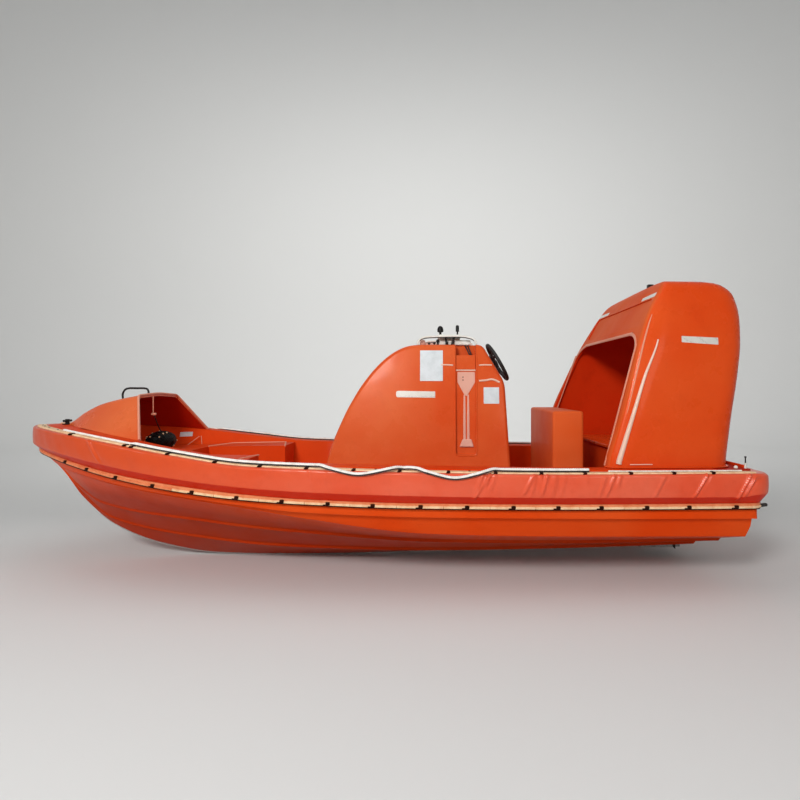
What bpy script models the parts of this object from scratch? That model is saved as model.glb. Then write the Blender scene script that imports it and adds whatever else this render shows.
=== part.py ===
"""A 6 m rigid rescue boat: X forward, Y to port, Z up, with Z = 0 at the waterline amidships."""

import math

import bmesh
import bpy
import numpy as np
from mathutils import Matrix, Vector

# Clearance between pieces that touch
GAP = 0.0003
# Thickness of the inner moulding and of the decks
SKIN = 0.012
# Space for the bonding paste between the cockpit walls and the hull
BOND_LINE = 0.01
# The fender collar: depth from its back to its outer face, and the ledge that it stands on
FENDER_DEPTH = 0.112
LEDGE_DEPTH = 0.042
STRIP_DEPTH = 0.066
FENDER_ROUND = 0.02
# Cockpit recess, from its aft end to its forward bulkhead
COCKPIT_AFT = -2.62
COCKPIT_FORE = 2.45
# Plane of the transom
TRANSOM_X = -2.9
# Pocket in the stern for the water jet
POCKET_FORE = -2.66
POCKET_HALF = 0.26
POCKET_TOP = 0.10

INTAKE_FORE = -2.36
INTAKE_HALF = 0.085
INTAKE_TOP = -0.27
# The lower part of the transom leans forward: from the chine down to where the keel ends
RAKE_TOP = (-2.905, -0.075)
RAKE_FOOT = (-2.67, -0.345)

# Plan of the hull side behind the fender, bow to quarter: x, half-breadth
WALL_PLAN = (
    (2.888, 0.0),
    (2.835, 0.14),
    (2.69, 0.30),
    (2.36, 0.535),
    (1.95, 0.735),
    (1.5, 0.885),
    (1.0, 0.978),
    (0.4, 1.028),
    (-0.5, 1.043),
    (-1.4, 1.032),
    (-2.2, 1.0),
    (-2.86, 0.962),
)

# Lines of the hull bottom: x, keel z, lower strake y z, upper strake y z, chine y z, band y z
HULL_LINES = (
    (-3.00, -0.330, 0.33, -0.240, 0.62, -0.145, 0.905, -0.056, 0.988, 0.097),
    (-1.50, -0.378, 0.35, -0.285, 0.66, -0.160, 0.945, -0.048, 1.056, 0.111),
    (-0.50, -0.397, 0.35, -0.300, 0.67, -0.145, 0.960, -0.024, 1.066, 0.122),
    (0.40, -0.421, 0.34, -0.284, 0.65, -0.088, 0.975, 0.091, 1.050, 0.154),
    (0.90, -0.424, 0.33, -0.260, 0.62, -0.050, 0.955, 0.170, 1.008, 0.202),
    (1.40, -0.410, 0.29, -0.215, 0.54, -0.005, 0.880, 0.231, 0.928, 0.258),
    (1.90, -0.325, 0.19, -0.165, 0.40, 0.025, 0.725, 0.288, 0.768, 0.314),
    (2.30, -0.168, 0.10, -0.085, 0.23, 0.065, 0.530, 0.342, 0.580, 0.371),
    (2.60, 0.080, 0.05, 0.130, 0.11, 0.205, 0.325, 0.382, 0.372, 0.414),
    (2.77, 0.305, 0.035, 0.335, 0.06, 0.375, 0.165, 0.431, 0.212, 0.453),
    (2.90, 0.445, 0.030, 0.460, 0.04, 0.475, 0.050, 0.490, 0.060, 0.500),
)

# Heights along the side: x, ledge, fender bottom, fender face bottom, fender top, deck
SIDE_HEIGHTS = (
    (-3.0, 0.180, 0.218, 0.272, 0.437, 0.478),
    (-1.5, 0.186, 0.222, 0.277, 0.440, 0.490),
    (-0.35, 0.198, 0.234, 0.295, 0.458, 0.500),
    (0.36, 0.222, 0.258, 0.318, 0.478, 0.512),
    (0.82, 0.248, 0.288, 0.346, 0.496, 0.528),
    (1.35, 0.299, 0.341, 0.400, 0.562, 0.588),
    (1.90, 0.374, 0.406, 0.473, 0.640, 0.660),
    (2.45, 0.464, 0.490, 0.545, 0.700, 0.715),
    (3.00, 0.540, 0.562, 0.585, 0.727, 0.738),
)

FLOOR_Z = 0.06
BENCH_Z = 0.50
# The cockpit: x, half-width at the deck, half-width at the floor, floor height
COCKPIT = (
    (-3.0, 0.80, 0.74, FLOOR_Z),
    (-1.5, 0.86, 0.80, FLOOR_Z),
    (0.5, 0.87, 0.77, FLOOR_Z),
    (1.0, 0.82, 0.68, 0.09),
    (1.6, 0.70, 0.56, 0.15),
    (2.1, 0.50, 0.36, 0.28),
    (2.5, 0.30, 0.16, 0.44),
)

# The cuddy over the bow: x at its base, base half-width, x of its top, top half-width, top z, crown z
CUDDY = (
    (1.765, 0.685, 1.936, 0.360, 0.995, 1.013),
    (2.04, 0.562, 2.120, 0.295, 0.965, 0.978),
    (2.33, 0.380, 2.330, 0.210, 0.920, 0.930),
    (2.56, 0.200, 2.540, 0.110, 0.842, 0.848),
    (2.66, 0.100, 2.650, 0.050, 0.783, 0.786),
    (2.71, 0.060, 2.705, 0.028, 0.750, 0.751),
)
CUDDY_WALL = 0.02
# The flange round the cuddy's open end: how far it reaches in, and its depth along the boat
CUDDY_RIM = 0.045
CUDDY_RIM_DEPTH = 0.025

# The locker under the cuddy
LOCKER_AFT = 1.62
LOCKER_FORE = 2.2

# The console seen from its side, from its toe on the floor up over the top and down aft: x, z
CONSOLE_TOP = 1.430
CONSOLE_SIDE = (
    (0.415, FLOOR_Z + GAP),
    (0.359, 0.436),
    (0.301, 0.629),
    (0.200, 0.864),
    (0.091, 1.057),
    (-0.018, 1.204),
    (-0.127, 1.314),
    (-0.232, 1.386),
    (-0.350, CONSOLE_TOP),
    (-0.955, CONSOLE_TOP),
    (-1.145, 1.105),
    (-1.184, 0.411),
    (-1.196, FLOOR_Z + GAP),
)
CONSOLE_BASE_HALF = 0.42
CONSOLE_TOP_HALF = 0.27
CHANNEL_X = (-0.905, -0.722)
CHANNEL_DEPTH = 0.035
CHANNEL_FOOT = 0.49
CHANNEL_CORNER = 0.03

# Levels of the hood: z, front rim x to port, to starboard, corner x, aft x, half-width of the rim, of the
# side, of the aft end
HOOD_LEVELS = (
    (0.505, -1.820, -1.680, -1.975, -2.785, 0.900, 0.940, 0.880),
    (0.86, -1.910, -1.780, -2.055, -2.840, 0.885, 0.915, 0.860),
    (1.14, -1.995, -1.900, -2.145, -2.893, 0.865, 0.895, 0.840),
    (1.42, -2.085, -2.030, -2.265, -2.930, 0.835, 0.865, 0.815),
    (1.60, -2.170, -2.130, -2.290, -2.935, 0.800, 0.835, 0.790),
    (1.78, -2.265, -2.240, -2.310, -2.905, 0.760, 0.795, 0.750),
    (1.86, -2.310, -2.300, -2.330, -2.835, 0.725, 0.760, 0.715),
    (1.887, -2.335, -2.330, -2.345, -2.765, 0.690, 0.715, 0.680),
    (1.905, -2.355, -2.355, -2.365, -2.700, 0.450, 0.460, 0.450),
    (1.917, -2.375, -2.375, -2.385, -2.620, 0.160, 0.170, 0.160),
)
HOOD_WALL = 0.03
HOOD_CORNER = 0.09
# The opening: height of its top, half-widths at its foot and there, radius of its upper corners
OPENING_TOP = 1.45
OPENING_LOW_HALF = 0.84
OPENING_TOP_HALF = 0.79
OPENING_CORNER = 0.12

# Steering wheel: centre, radius, rim radius and the slope of its axis
WHEEL_CENTRE = (-1.110, 0.0, 1.290)
WHEEL_RADIUS = 0.19
WHEEL_RIM = 0.013
DASH_TOP = (-0.955, CONSOLE_TOP)
DASH_FOOT = (-1.145, 1.105)
DASH_SLOPE = math.atan2(DASH_TOP[1] - DASH_FOOT[1], DASH_TOP[0] - DASH_FOOT[0])

# The water jet: height of its axis, pivot of its nozzle
JET_Z = -0.2
NOZZLE_PIVOT_X = -2.79
NOZZLE_OUTER = 0.097
NOZZLE_INNER = 0.085
BUCKET_RADIUS = 0.16
BUCKET_PLATE = 0.012
BUCKET_HALF_ANGLE = math.radians(38)
BUCKET_RAISED = math.radians(80)

ROPE_RADIUS = 0.008
ROPE_POINTS = 78
STRIP_HEIGHT = 0.010

# Route of the lifeline: x, distance out from the hull side, height over the fender top
LIFELINE = (
    (2.42, 0.048, 0.0187),
    (2.10, 0.048, 0.0187),
    (1.64, 0.048, 0.0187),
    (1.20, 0.048, 0.0187),
    (0.80, 0.048, 0.0187),
    (0.45, 0.048, 0.0187),
    (0.322, 0.050, 0.0190),
    (0.25, 0.092, 0.0245),
    (0.16, 0.124, 0.006),
    (-0.01, 0.1265, -0.024),
    (-0.18, 0.124, 0.006),
    (-0.27, 0.092, 0.0245),
    (-0.342, 0.050, 0.0190),
    (-0.42, 0.092, 0.0245),
    (-0.51, 0.124, 0.002),
    (-0.69, 0.1265, -0.036),
    (-0.87, 0.124, 0.002),
    (-0.95, 0.092, 0.0245),
    (-1.025, 0.050, 0.0190),
    (-1.345, 0.048, 0.0187),
    (-1.56, 0.048, 0.0187),
    (-1.655, 0.048, 0.0187),
)

# A thinner line carries on along the strip to the quarter: x, distance out, height over the fender top
AFT_LINE_RADIUS = 0.006
AFT_LINE_POINTS = 40
AFT_LINE = (
    (-1.80, 0.040, 0.0167),
    (-2.00, 0.046, 0.0167),
    (-2.40, 0.046, 0.0167),
    (-2.78, 0.046, 0.0167),
)


def clear_scene():
    for obj in list(bpy.data.objects):
        bpy.data.objects.remove(obj, do_unlink=True)


def material(name, color, roughness, metallic=0.0):
    made = bpy.data.materials.new(name)
    made.use_nodes = True
    shader = made.node_tree.nodes["Principled BSDF"]
    shader.inputs["Base Color"].default_value = (*color, 1.0)
    shader.inputs["Roughness"].default_value = roughness
    shader.inputs["Metallic"].default_value = metallic
    return made


def smooth_rows(rows, at):
    """The columns of a table read at each x of `at`, by cubic curves through the rows with no overshoot."""
    rows = np.array(rows, float)
    xs = rows[:, 0]
    steps = np.diff(xs)[:, None]
    slopes = np.diff(rows[:, 1:], axis=0) / steps
    tangents = np.zeros_like(rows[:, 1:])
    same_way = slopes[:-1] * slopes[1:] > 0
    harmonic = 2 * slopes[:-1] * slopes[1:] / np.where(same_way, slopes[:-1] + slopes[1:], 1)
    tangents[1:-1] = np.where(same_way, harmonic, 0)
    tangents[0] = slopes[0]
    tangents[-1] = slopes[-1]
    at = np.clip(np.atleast_1d(at), xs[0], xs[-1])
    index = np.clip(np.searchsorted(xs, at, side="right") - 1, 0, len(xs) - 2)
    width = (xs[index + 1] - xs[index])[:, None]
    t = ((at - xs[index])[:, None]) / width
    start = rows[index, 1:]
    end = rows[index + 1, 1:]
    return (
        (2 * t**3 - 3 * t**2 + 1) * start
        + (t**3 - 2 * t**2 + t) * width * tangents[index]
        + (3 * t**2 - 2 * t**3) * end
        + (t**3 - t**2) * width * tangents[index + 1]
    )


def curve_through(points, per_span):
    """Points along a Catmull-Rom curve through `points`, with `per_span` steps between each pair."""
    points = np.array(points, float)
    padded = np.vstack([2 * points[0] - points[1], points, 2 * points[-1] - points[-2]])
    out = []
    for i in range(1, len(padded) - 2):
        p0, p1, p2, p3 = padded[i - 1], padded[i], padded[i + 1], padded[i + 2]
        for step in range(per_span):
            t = step / per_span
            out.append(
                0.5 * (2 * p1 + (p2 - p0) * t + (2 * p0 - 5 * p1 + 4 * p2 - p3) * t * t
                       + (3 * p1 - p0 - 3 * p2 + p3) * t**3)
            )
    out.append(points[-1])
    return np.array(out)


def finish_mesh(name, bm, surface, sharp_angle=30.0):
    """Turns a bmesh into a named object with outward faces and shading that is smooth up to an angle."""
    bmesh.ops.recalc_face_normals(bm, faces=bm.faces)
    mesh = bpy.data.meshes.new(name)
    bm.to_mesh(mesh)
    bm.free()
    mesh.shade_smooth()
    mesh.set_sharp_from_angle(angle=math.radians(sharp_angle))
    obj = bpy.data.objects.new(name, mesh)
    bpy.context.scene.collection.objects.link(obj)
    if surface is not None:
        obj.data.materials.append(surface)
    return obj


def add_loft(bm, sections):
    """Quads between rings of points that have the same count, with a face over each end."""
    rings = [[bm.verts.new(point) for point in section] for section in sections]
    count = len(rings[0])
    for near, far in zip(rings, rings[1:]):
        for i in range(count):
            j = (i + 1) % count
            bm.faces.new((near[i], near[j], far[j], far[i]))
    bm.faces.new(rings[0])
    bm.faces.new(list(reversed(rings[-1])))


def loft(name, sections, surface, sharp_angle=30.0):
    bm = bmesh.new()
    add_loft(bm, sections)
    return finish_mesh(name, bm, surface, sharp_angle)


def mirrored(half):
    """A closed ring from its port half, listed from one end of the centre plane to the other."""
    return list(half) + [(x, -y, z) for x, y, z in reversed(half)]


def add_box(bm, low, high):
    low, high = Vector(low), Vector(high)
    made = bmesh.ops.create_cube(bm, size=1.0)["verts"]
    size = high - low
    centre = (high + low) / 2
    bmesh.ops.scale(bm, vec=size, verts=made)
    bmesh.ops.translate(bm, vec=centre, verts=made)
    return made


def box(name, low, high, surface, bevel=0.0, segments=2):
    bm = bmesh.new()
    add_box(bm, low, high)
    obj = finish_mesh(name, bm, surface)
    if bevel:
        round_edges(obj, bevel, segments)
    return obj


def round_edges(obj, width, segments=2):
    bevel = obj.modifiers.new("rounded edges", "BEVEL")
    bevel.width = width
    bevel.segments = segments
    bevel.limit_method = "ANGLE"
    bevel.angle_limit = math.radians(40)


def add_rod(bm, start, end, radius, sides=12, end_radius=None):
    start, end = Vector(start), Vector(end)
    axis = end - start
    made = bmesh.ops.create_cone(
        bm, cap_ends=True, segments=sides, radius1=radius,
        radius2=radius if end_radius is None else end_radius, depth=axis.length,
    )["verts"]
    turn = Vector((0, 0, 1)).rotation_difference(axis.normalized()).to_matrix().to_4x4()
    bmesh.ops.transform(bm, matrix=Matrix.Translation((start + end) / 2) @ turn, verts=made)
    return made


def rod(name, start, end, radius, surface, sides=12, end_radius=None):
    bm = bmesh.new()
    add_rod(bm, start, end, radius, sides, end_radius)
    return finish_mesh(name, bm, surface)


def pipe(name, points, radius, surface, bevel_resolution=2):
    curve = bpy.data.curves.new(name, "CURVE")
    curve.dimensions = "3D"
    curve.bevel_depth = radius
    curve.bevel_resolution = bevel_resolution
    curve.use_fill_caps = True
    spline = curve.splines.new("POLY")
    spline.points.add(len(points) - 1)
    for at, point in zip(spline.points, points):
        at.co = (*point, 1.0)
    obj = bpy.data.objects.new(name, curve)
    bpy.context.scene.collection.objects.link(obj)
    obj.data.materials.append(surface)
    return obj


def cut(obj, cutter, operation="DIFFERENCE"):
    cutter.hide_render = True
    cutter.display_type = "WIRE"
    boolean = obj.modifiers.new(cutter.name, "BOOLEAN")
    boolean.operation = operation
    boolean.object = cutter


def wall_path():
    """The hull side in plan from the bow round the port quarter: points and outward normals."""
    side = curve_through([(2.835, -0.14)] + list(WALL_PLAN), 4)[4:]
    corner_radius = 0.03
    corner = np.array([side[-1][0], side[-1][1] - corner_radius])
    arc = [corner + corner_radius * np.array([-math.sin(a), math.cos(a)])
           for a in np.radians((22, 45, 68, 90))]
    points = np.vstack([side, arc])
    ahead = np.vstack([points[1:], points[-1] + [0.0, -0.05]])
    behind = np.vstack([[points[1][0], -points[1][1]], points[:-1]])
    along = ahead - behind
    along /= np.linalg.norm(along, axis=1)[:, None]
    normals = np.stack([along[:, 1], -along[:, 0]], axis=1)
    return points, normals


WALL, NORMALS = wall_path()
HEIGHTS = smooth_rows(SIDE_HEIGHTS, WALL[:, 0])
# The aft end of the side, before the corner of the transom starts
LAST_SIDE = len(WALL) - 5


def out_from_wall(index, out, z):
    x, y = WALL[index] + NORMALS[index] * out
    return (x, y, z)


def hull_section(index):
    """Half section at one point of the hull side, keel to deck edge."""
    x, wall_y = WALL[index]
    lines = smooth_rows(HULL_LINES, x)[0]
    keel_z, low_y, low_z, up_y, up_z, chine_y, chine_z, band_y, band_z = lines
    ledge_z, _, _, _, deck_z = HEIGHTS[index]
    x_low = max(x, TRANSOM_X)
    step = 0.016
    at_transom = index == len(WALL) - 1
    ledge = out_from_wall(index, LEDGE_DEPTH - GAP, ledge_z)
    if at_transom:
        ledge = (x, wall_y + 0.02, ledge_z)
    top_z = deck_z - SKIN - GAP
    return [
        (x_low, 0.028, keel_z),
        (x_low, low_y, low_z - step / 2),
        (x_low, low_y + 0.006, low_z + step),
        (x_low, up_y, up_z - step / 2),
        (x_low, up_y + 0.006, up_z + step),
        (x_low, chine_y - 0.03, chine_z - 0.004),
        (x_low, chine_y, chine_z + 0.004),
        (x_low, band_y - 0.012, band_z - 0.006),
        (x_low, band_y, band_z + 0.006),
        (ledge[0], ledge[1] - 0.006, ledge_z - 0.012),
        (ledge[0], ledge[1] - 0.012, ledge_z),
        (x, wall_y, ledge_z),
        (x, wall_y, top_z),
    ]


def cockpit_row(x):
    deck_z = smooth_rows(SIDE_HEIGHTS, x)[0][4]
    half_deck, half_floor, floor_z = smooth_rows(COCKPIT, x)[0]
    return half_deck, half_floor, floor_z, deck_z


def cockpit_facets(x):
    """The cockpit row at x as the faceted inner moulding has it, straight between its stations."""
    xs = np.array(stations_between(COCKPIT_AFT, COCKPIT_FORE))
    rows = np.array([cockpit_row(station) for station in xs])
    return [float(np.interp(x, xs, column)) for column in rows.T]


def stations_between(low, high):
    inside = [x for x in WALL[:, 0] if low + 0.01 < x < high - 0.01]
    return sorted([low, high] + inside)


def deck_at(x):
    """Height of the faceted deck, which is straight between its stations."""
    xs = np.array(stations_between(COCKPIT_FORE, WALL[3][0]) + [COCKPIT_AFT] + list(WALL[:LAST_SIDE + 1, 0]))
    xs = np.unique(xs)
    return float(np.interp(x, xs, smooth_rows(SIDE_HEIGHTS, xs)[:, 4]))


def wall_at(x):
    order = np.argsort(WALL[:, 0])
    return float(np.interp(x, WALL[order, 0], WALL[order, 1]))


def build_hull(surface):
    sections = [mirrored(hull_section(i)) for i in range(len(WALL) - 1, 2, -1)]
    hull = loft("hull", sections, surface)
    ledge_z = HEIGHTS[-1][0]
    shelf_x, shelf_y, _ = out_from_wall(len(WALL) - 1, LEDGE_DEPTH - GAP, ledge_z)
    shelf = box("transom_ledge", (shelf_x, -shelf_y, ledge_z - 0.08),
                (shelf_x + 0.1, shelf_y, ledge_z), None)
    cut(hull, shelf, "UNION")
    grown = SKIN + GAP
    rings = []
    for x in stations_between(COCKPIT_AFT, COCKPIT_FORE):
        half_deck, half_floor, floor_z, deck_z = cockpit_row(x)
        wall_out = SKIN + BOND_LINE
        rings.append(mirrored([
            (x, half_floor + wall_out, floor_z - grown),
            (x, half_deck + wall_out, deck_z - grown),
            (x, half_deck + wall_out, deck_z + 0.2),
        ]))
    cut(hull, loft("cockpit_space", rings, None))
    pocket = box("jet_pocket", (-3.2, -POCKET_HALF, -0.6), (POCKET_FORE, POCKET_HALF, POCKET_TOP), None)
    cut(hull, pocket)
    intake = box("intake_space", (POCKET_FORE + 0.005, -INTAKE_HALF, -0.6),
                 (INTAKE_FORE, INTAKE_HALF, INTAKE_TOP), None)
    cut(hull, intake)
    foot_x, top_z = RAKE_FOOT[0], RAKE_TOP[1]
    rake = ((-3.2, -0.6), (foot_x, -0.6), RAKE_FOOT, RAKE_TOP, (-3.2, top_z))
    cut(hull, loft("stern_rake", [[(x, y, z) for x, z in rake] for y in (1.2, -1.2)], None))
    return hull


def build_keel_band(surface):
    """A flat metal band under the keel, from the forefoot to the jet intake."""
    rings = []
    for index in range(len(WALL)):
        x = WALL[index, 0]
        if not INTAKE_FORE + 0.01 < x < 2.5:
            continue
        keel_z = smooth_rows(HULL_LINES, x)[0][0]
        half = 0.022
        rings.append([(x, half, keel_z - GAP), (x, -half, keel_z - GAP),
                      (x, -half, keel_z - 0.008), (x, half, keel_z - 0.008)])
    return loft("keel_band", rings, surface)


def build_intake(surface):
    """The jet's intake: a block in the hull bottom with a grille of lengthwise bars."""
    low_z = smooth_rows(HULL_LINES, INTAKE_FORE)[0][0]
    length = (POCKET_FORE + 0.006, INTAKE_FORE - GAP)
    block = box("intake_grille", (length[0], -INTAKE_HALF + GAP, low_z),
                (length[1], INTAKE_HALF - GAP, INTAKE_TOP - GAP), surface)
    slots = 4
    pitch = 2 * (INTAKE_HALF - 0.012) / slots
    bm = bmesh.new()
    for i in range(slots):
        y = -INTAKE_HALF + 0.012 + pitch * (i + 0.5)
        add_box(bm, (length[0] + 0.02, y - pitch / 2 + 0.005, low_z - 0.1),
                (length[1] - 0.02, y + pitch / 2 - 0.005, INTAKE_TOP - 0.012))
    cut(block, finish_mesh("intake_slots", bm, None))


def build_liner(surface):
    """The inner moulding: side decks, cockpit walls and floor in one U-shaped shell."""
    rings = []
    for x in stations_between(COCKPIT_AFT + GAP, COCKPIT_FORE - GAP):
        half_deck, half_floor, floor_z, deck_z = cockpit_row(x)
        edge = wall_at(x)
        top = [
            (x, half_floor, floor_z),
            (x, half_deck, deck_z),
            (x, edge, deck_z),
        ]
        under = [
            (x, half_floor + SKIN, floor_z - SKIN),
            (x, half_deck + SKIN, deck_z - SKIN),
            (x, edge, deck_z - SKIN),
        ]
        port = top + list(reversed(under))
        rings.append(port[:3] + port[3:] + [(px, -py, pz) for px, py, pz in reversed(port)])
    return loft("cockpit_liner", rings, surface)


def build_end_deck(name, low, high, drop, surface):
    """A deck plate from one side of the boat to the other, between two stations."""
    rings = []
    for x in stations_between(low, high):
        deck_z = smooth_rows(SIDE_HEIGHTS, x)[0][4] - drop
        edge = wall_at(x)
        rings.append([(x, edge, deck_z), (x, edge, deck_z - SKIN),
                      (x, -edge, deck_z - SKIN), (x, -edge, deck_z)])
    return loft(name, rings, surface)


def fender_ring(index):
    """Section of the collar: flat back, rounded top corner, upright face and a chamfer below."""
    _, bottom_z, face_z, top_z, _ = HEIGHTS[index]
    profile = (
        (GAP, bottom_z),
        (GAP, top_z),
        (FENDER_DEPTH - FENDER_ROUND, top_z),
        (FENDER_DEPTH - 0.006, top_z - 0.006),
        (FENDER_DEPTH, top_z - FENDER_ROUND),
        (FENDER_DEPTH, face_z),
        (0.058, bottom_z),
    )
    return [out_from_wall(index, out, z) for out, z in profile]


def other_side(ring):
    return [(x, -y, z) for x, y, z in ring]


def build_fenders(surface):
    bow_span = 8
    bow = [fender_ring(i) for i in range(bow_span, -1, -1)]
    bow += [other_side(fender_ring(i)) for i in range(1, bow_span + 1)]
    loft("fender_bow", bow, surface)
    side = [fender_ring(i) for i in range(bow_span, len(WALL))]
    normal_x, normal_y = NORMALS[bow_span]
    shift = Vector((-normal_y, normal_x, 0)) * 1.5 * GAP
    side[0] = [tuple(Vector(p) + shift) for p in side[0]]
    loft("fender_port", side, surface)
    loft("fender_starboard", [other_side(ring) for ring in side], surface)
    last = side[-1]
    stern = [[(x, side_sign * (y - 2 * GAP), z) for x, y, z in last] for side_sign in (1, -1)]
    loft("fender_stern", stern, surface)


def strip_ring(index, near, far, low, high):
    return [out_from_wall(index, out, z)
            for out, z in ((near, low), (far, low), (far, high), (near, high))]


def build_strips(surface):
    """The lower rub strip under the collar and the upper retaining strip on it, with their brackets."""
    for sign, side in ((1, "port"), (-1, "starboard")):
        rings = []
        for i in range(0, len(WALL)):
            ledge_z, bottom_z, _, _, _ = HEIGHTS[i]
            rings.append(strip_ring(i, 0.002, STRIP_DEPTH, ledge_z + GAP, bottom_z - GAP))
        rings[0] = [(x, GAP, z) for x, y, z in rings[0]]
        aft = [(x, 0.75, z) for x, y, z in rings[-1]]
        rings.append(aft)
        loft(f"lower_strip_{side}", [[(x, sign * y, z) for x, y, z in ring] for ring in rings], surface)
        rings = []
        for i in range(3, LAST_SIDE + 1):
            top_z = HEIGHTS[i][3]
            rings.append(strip_ring(i, 0.014, 0.080, top_z + GAP, top_z + STRIP_HEIGHT))
        loft(f"upper_strip_{side}", [[(x, sign * y, z) for x, y, z in ring] for ring in rings], surface)


def rope_route(table, count, sign):
    """Points of a rope whose table gives x, distance out from the hull side and height over the fender top."""
    rows = curve_through(table, 6)
    order = np.argsort(WALL[:, 0])
    xs = np.linspace(table[0][0], table[-1][0], count)
    back = np.argsort(rows[:, 0])
    out = np.interp(xs, rows[back, 0], rows[back, 1])
    rise = np.interp(xs, rows[back, 0], rows[back, 2])
    wall_y, normal_x, normal_y, top_z = (
        np.interp(xs, WALL[order, 0], column[order])
        for column in (WALL[:, 1], NORMALS[:, 0], NORMALS[:, 1], HEIGHTS[:, 3])
    )
    return np.stack([xs + normal_x * out, sign * (wall_y + normal_y * out), top_z + rise], axis=1)


def build_lifelines(surface):
    """The lifeline follows the upper strip, and drops over the collar in two bights."""
    for sign, side in ((1, "port"), (-1, "starboard")):
        pipe(f"lifeline_{side}", rope_route(LIFELINE, ROPE_POINTS, sign), ROPE_RADIUS, surface)
        pipe(f"aft_line_{side}", rope_route(AFT_LINE, AFT_LINE_POINTS, sign), AFT_LINE_RADIUS, surface)


def cuddy_ring(row, inset):
    base_x, base_half, base_z, top_x, top_half, top_z, crown_z = row
    outer = [
        (base_x, base_half, base_z),
        (top_x, top_half, top_z),
        (top_x, 0.0, crown_z),
    ]
    lowest = base_z + 0.001
    inner = [
        (base_x, base_half - inset * 1.3, base_z),
        (top_x, max(top_half - inset * 0.7, 0.012), max(top_z - inset, lowest)),
        (top_x, 0.0, max(crown_z - inset, lowest)),
    ]
    port = [outer[0], outer[1], outer[2]]
    starboard = [(x, -y, z) for x, y, z in (outer[1], outer[0])]
    inner_starboard = [(x, -y, z) for x, y, z in (inner[0], inner[1])]
    inner_port = [inner[2], inner[1], inner[0]]
    return port + starboard + inner_starboard + inner_port


def crown_at(x):
    """Height of the cuddy's crown over a point of the centre line."""
    rows = smooth_rows(CUDDY, np.array(stations_between(CUDDY[0][0], CUDDY[-1][0])))
    return float(np.interp(x, rows[:, 1], rows[:, 4]))


def build_cuddy(surface):
    """A faceted shell over the bow, open aft with a flange round its rim, and closed by its nose."""
    aft = CUDDY[0][0]
    rim_fore = aft + CUDDY_RIM_DEPTH
    places = [(aft, CUDDY_RIM), (rim_fore, CUDDY_RIM), (rim_fore + 0.001, CUDDY_WALL)]
    places += [(x, CUDDY_WALL) for x in stations_between(aft, CUDDY[-1][0]) if x > rim_fore + 0.01]
    rings = []
    for x, inset in places:
        base_half, top_x, top_half, top_z, crown_z = smooth_rows(CUDDY, x)[0]
        rings.append(cuddy_ring((x, base_half, deck_at(x) + GAP, top_x, top_half, top_z, crown_z), inset))
    return loft("cuddy", rings, surface)


def console_half(z):
    return float(np.interp(z, (FLOOR_Z, CONSOLE_TOP), (CONSOLE_BASE_HALF, CONSOLE_TOP_HALF)))


def build_console(surface):
    rings = [[(x, sign * console_half(z), z) for x, z in CONSOLE_SIDE] for sign in (1, -1)]
    console = loft("console", rings, surface)
    for sign, side in ((1, "port"), (-1, "starboard")):
        low, high = CHANNEL_X
        bm = bmesh.new()
        outer = [(low, 1.6), (high, 1.6), (high, CHANNEL_FOOT + CHANNEL_CORNER),
                 (high - CHANNEL_CORNER, CHANNEL_FOOT), (low + CHANNEL_CORNER, CHANNEL_FOOT),
                 (low, CHANNEL_FOOT + CHANNEL_CORNER)]
        near = [(x, sign * (console_half(z) - CHANNEL_DEPTH), z) for x, z in outer]
        far = [(x, sign * 0.6, z) for x, z in outer]
        add_loft(bm, [near, far])
        cut(console, finish_mesh(f"channel_{side}", bm, None))
    round_edges(console, 0.018, 2)
    return console


def hood_ring(level, inset):
    """One level of the hood: rim, chamfered front corner, side, rounded quarter and back."""
    z, port_x, starboard_x, corner_x, aft_x, rim_half, side_half, aft_half = level
    corner_x = corner_x - inset
    aft_x = aft_x + inset
    rim_half, side_half, aft_half = rim_half - inset, side_half - inset, aft_half - inset
    radius = HOOD_CORNER - inset / 2
    half = [(port_x - inset, rim_half, z), (corner_x, side_half, z)]
    for angle in np.radians((0, 30, 60, 90)):
        x = aft_x + radius - radius * math.sin(angle)
        y = aft_half - radius + radius * math.cos(angle)
        half.append((x, y, z))
    ring = mirrored(half)
    ring[-1] = (starboard_x - inset, -rim_half, z)
    return ring


def build_hood(surface):
    """A shell that stands on the side decks, with an opening in its front; its far rim reaches further
    forward at the foot than the near one."""
    base_z = HOOD_LEVELS[0][0]
    levels = [hood_ring(level, 0.0) for level in HOOD_LEVELS]
    levels[0] = [(x, y, deck_at(x) + GAP) for x, y, z in levels[0]]
    hood = loft("hood", levels, surface)
    inner = [(base_z - 0.2, *HOOD_LEVELS[0][1:])] + list(HOOD_LEVELS[1:-3])
    rings = [hood_ring(level, HOOD_WALL) for level in inner]
    top = rings[-1]
    rings[-1] = [(x, y, z - 0.012) for x, y, z in top]
    cut(hood, loft("hood_space", rings, None))
    profile = [(OPENING_LOW_HALF, 0.3), (OPENING_TOP_HALF + 0.004, OPENING_TOP - OPENING_CORNER)]
    for angle in np.radians((30, 60, 90)):
        y = OPENING_TOP_HALF - OPENING_CORNER + OPENING_CORNER * math.cos(angle)
        z = OPENING_TOP - OPENING_CORNER + OPENING_CORNER * math.sin(angle)
        profile.append((y, z))
    ring = profile + [(-y, z) for y, z in reversed(profile)]
    opening = loft("hood_opening", [[(x, y, z) for y, z in ring] for x in (-1.5, -2.45)], None)
    cut(hood, opening)
    return hood


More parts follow.
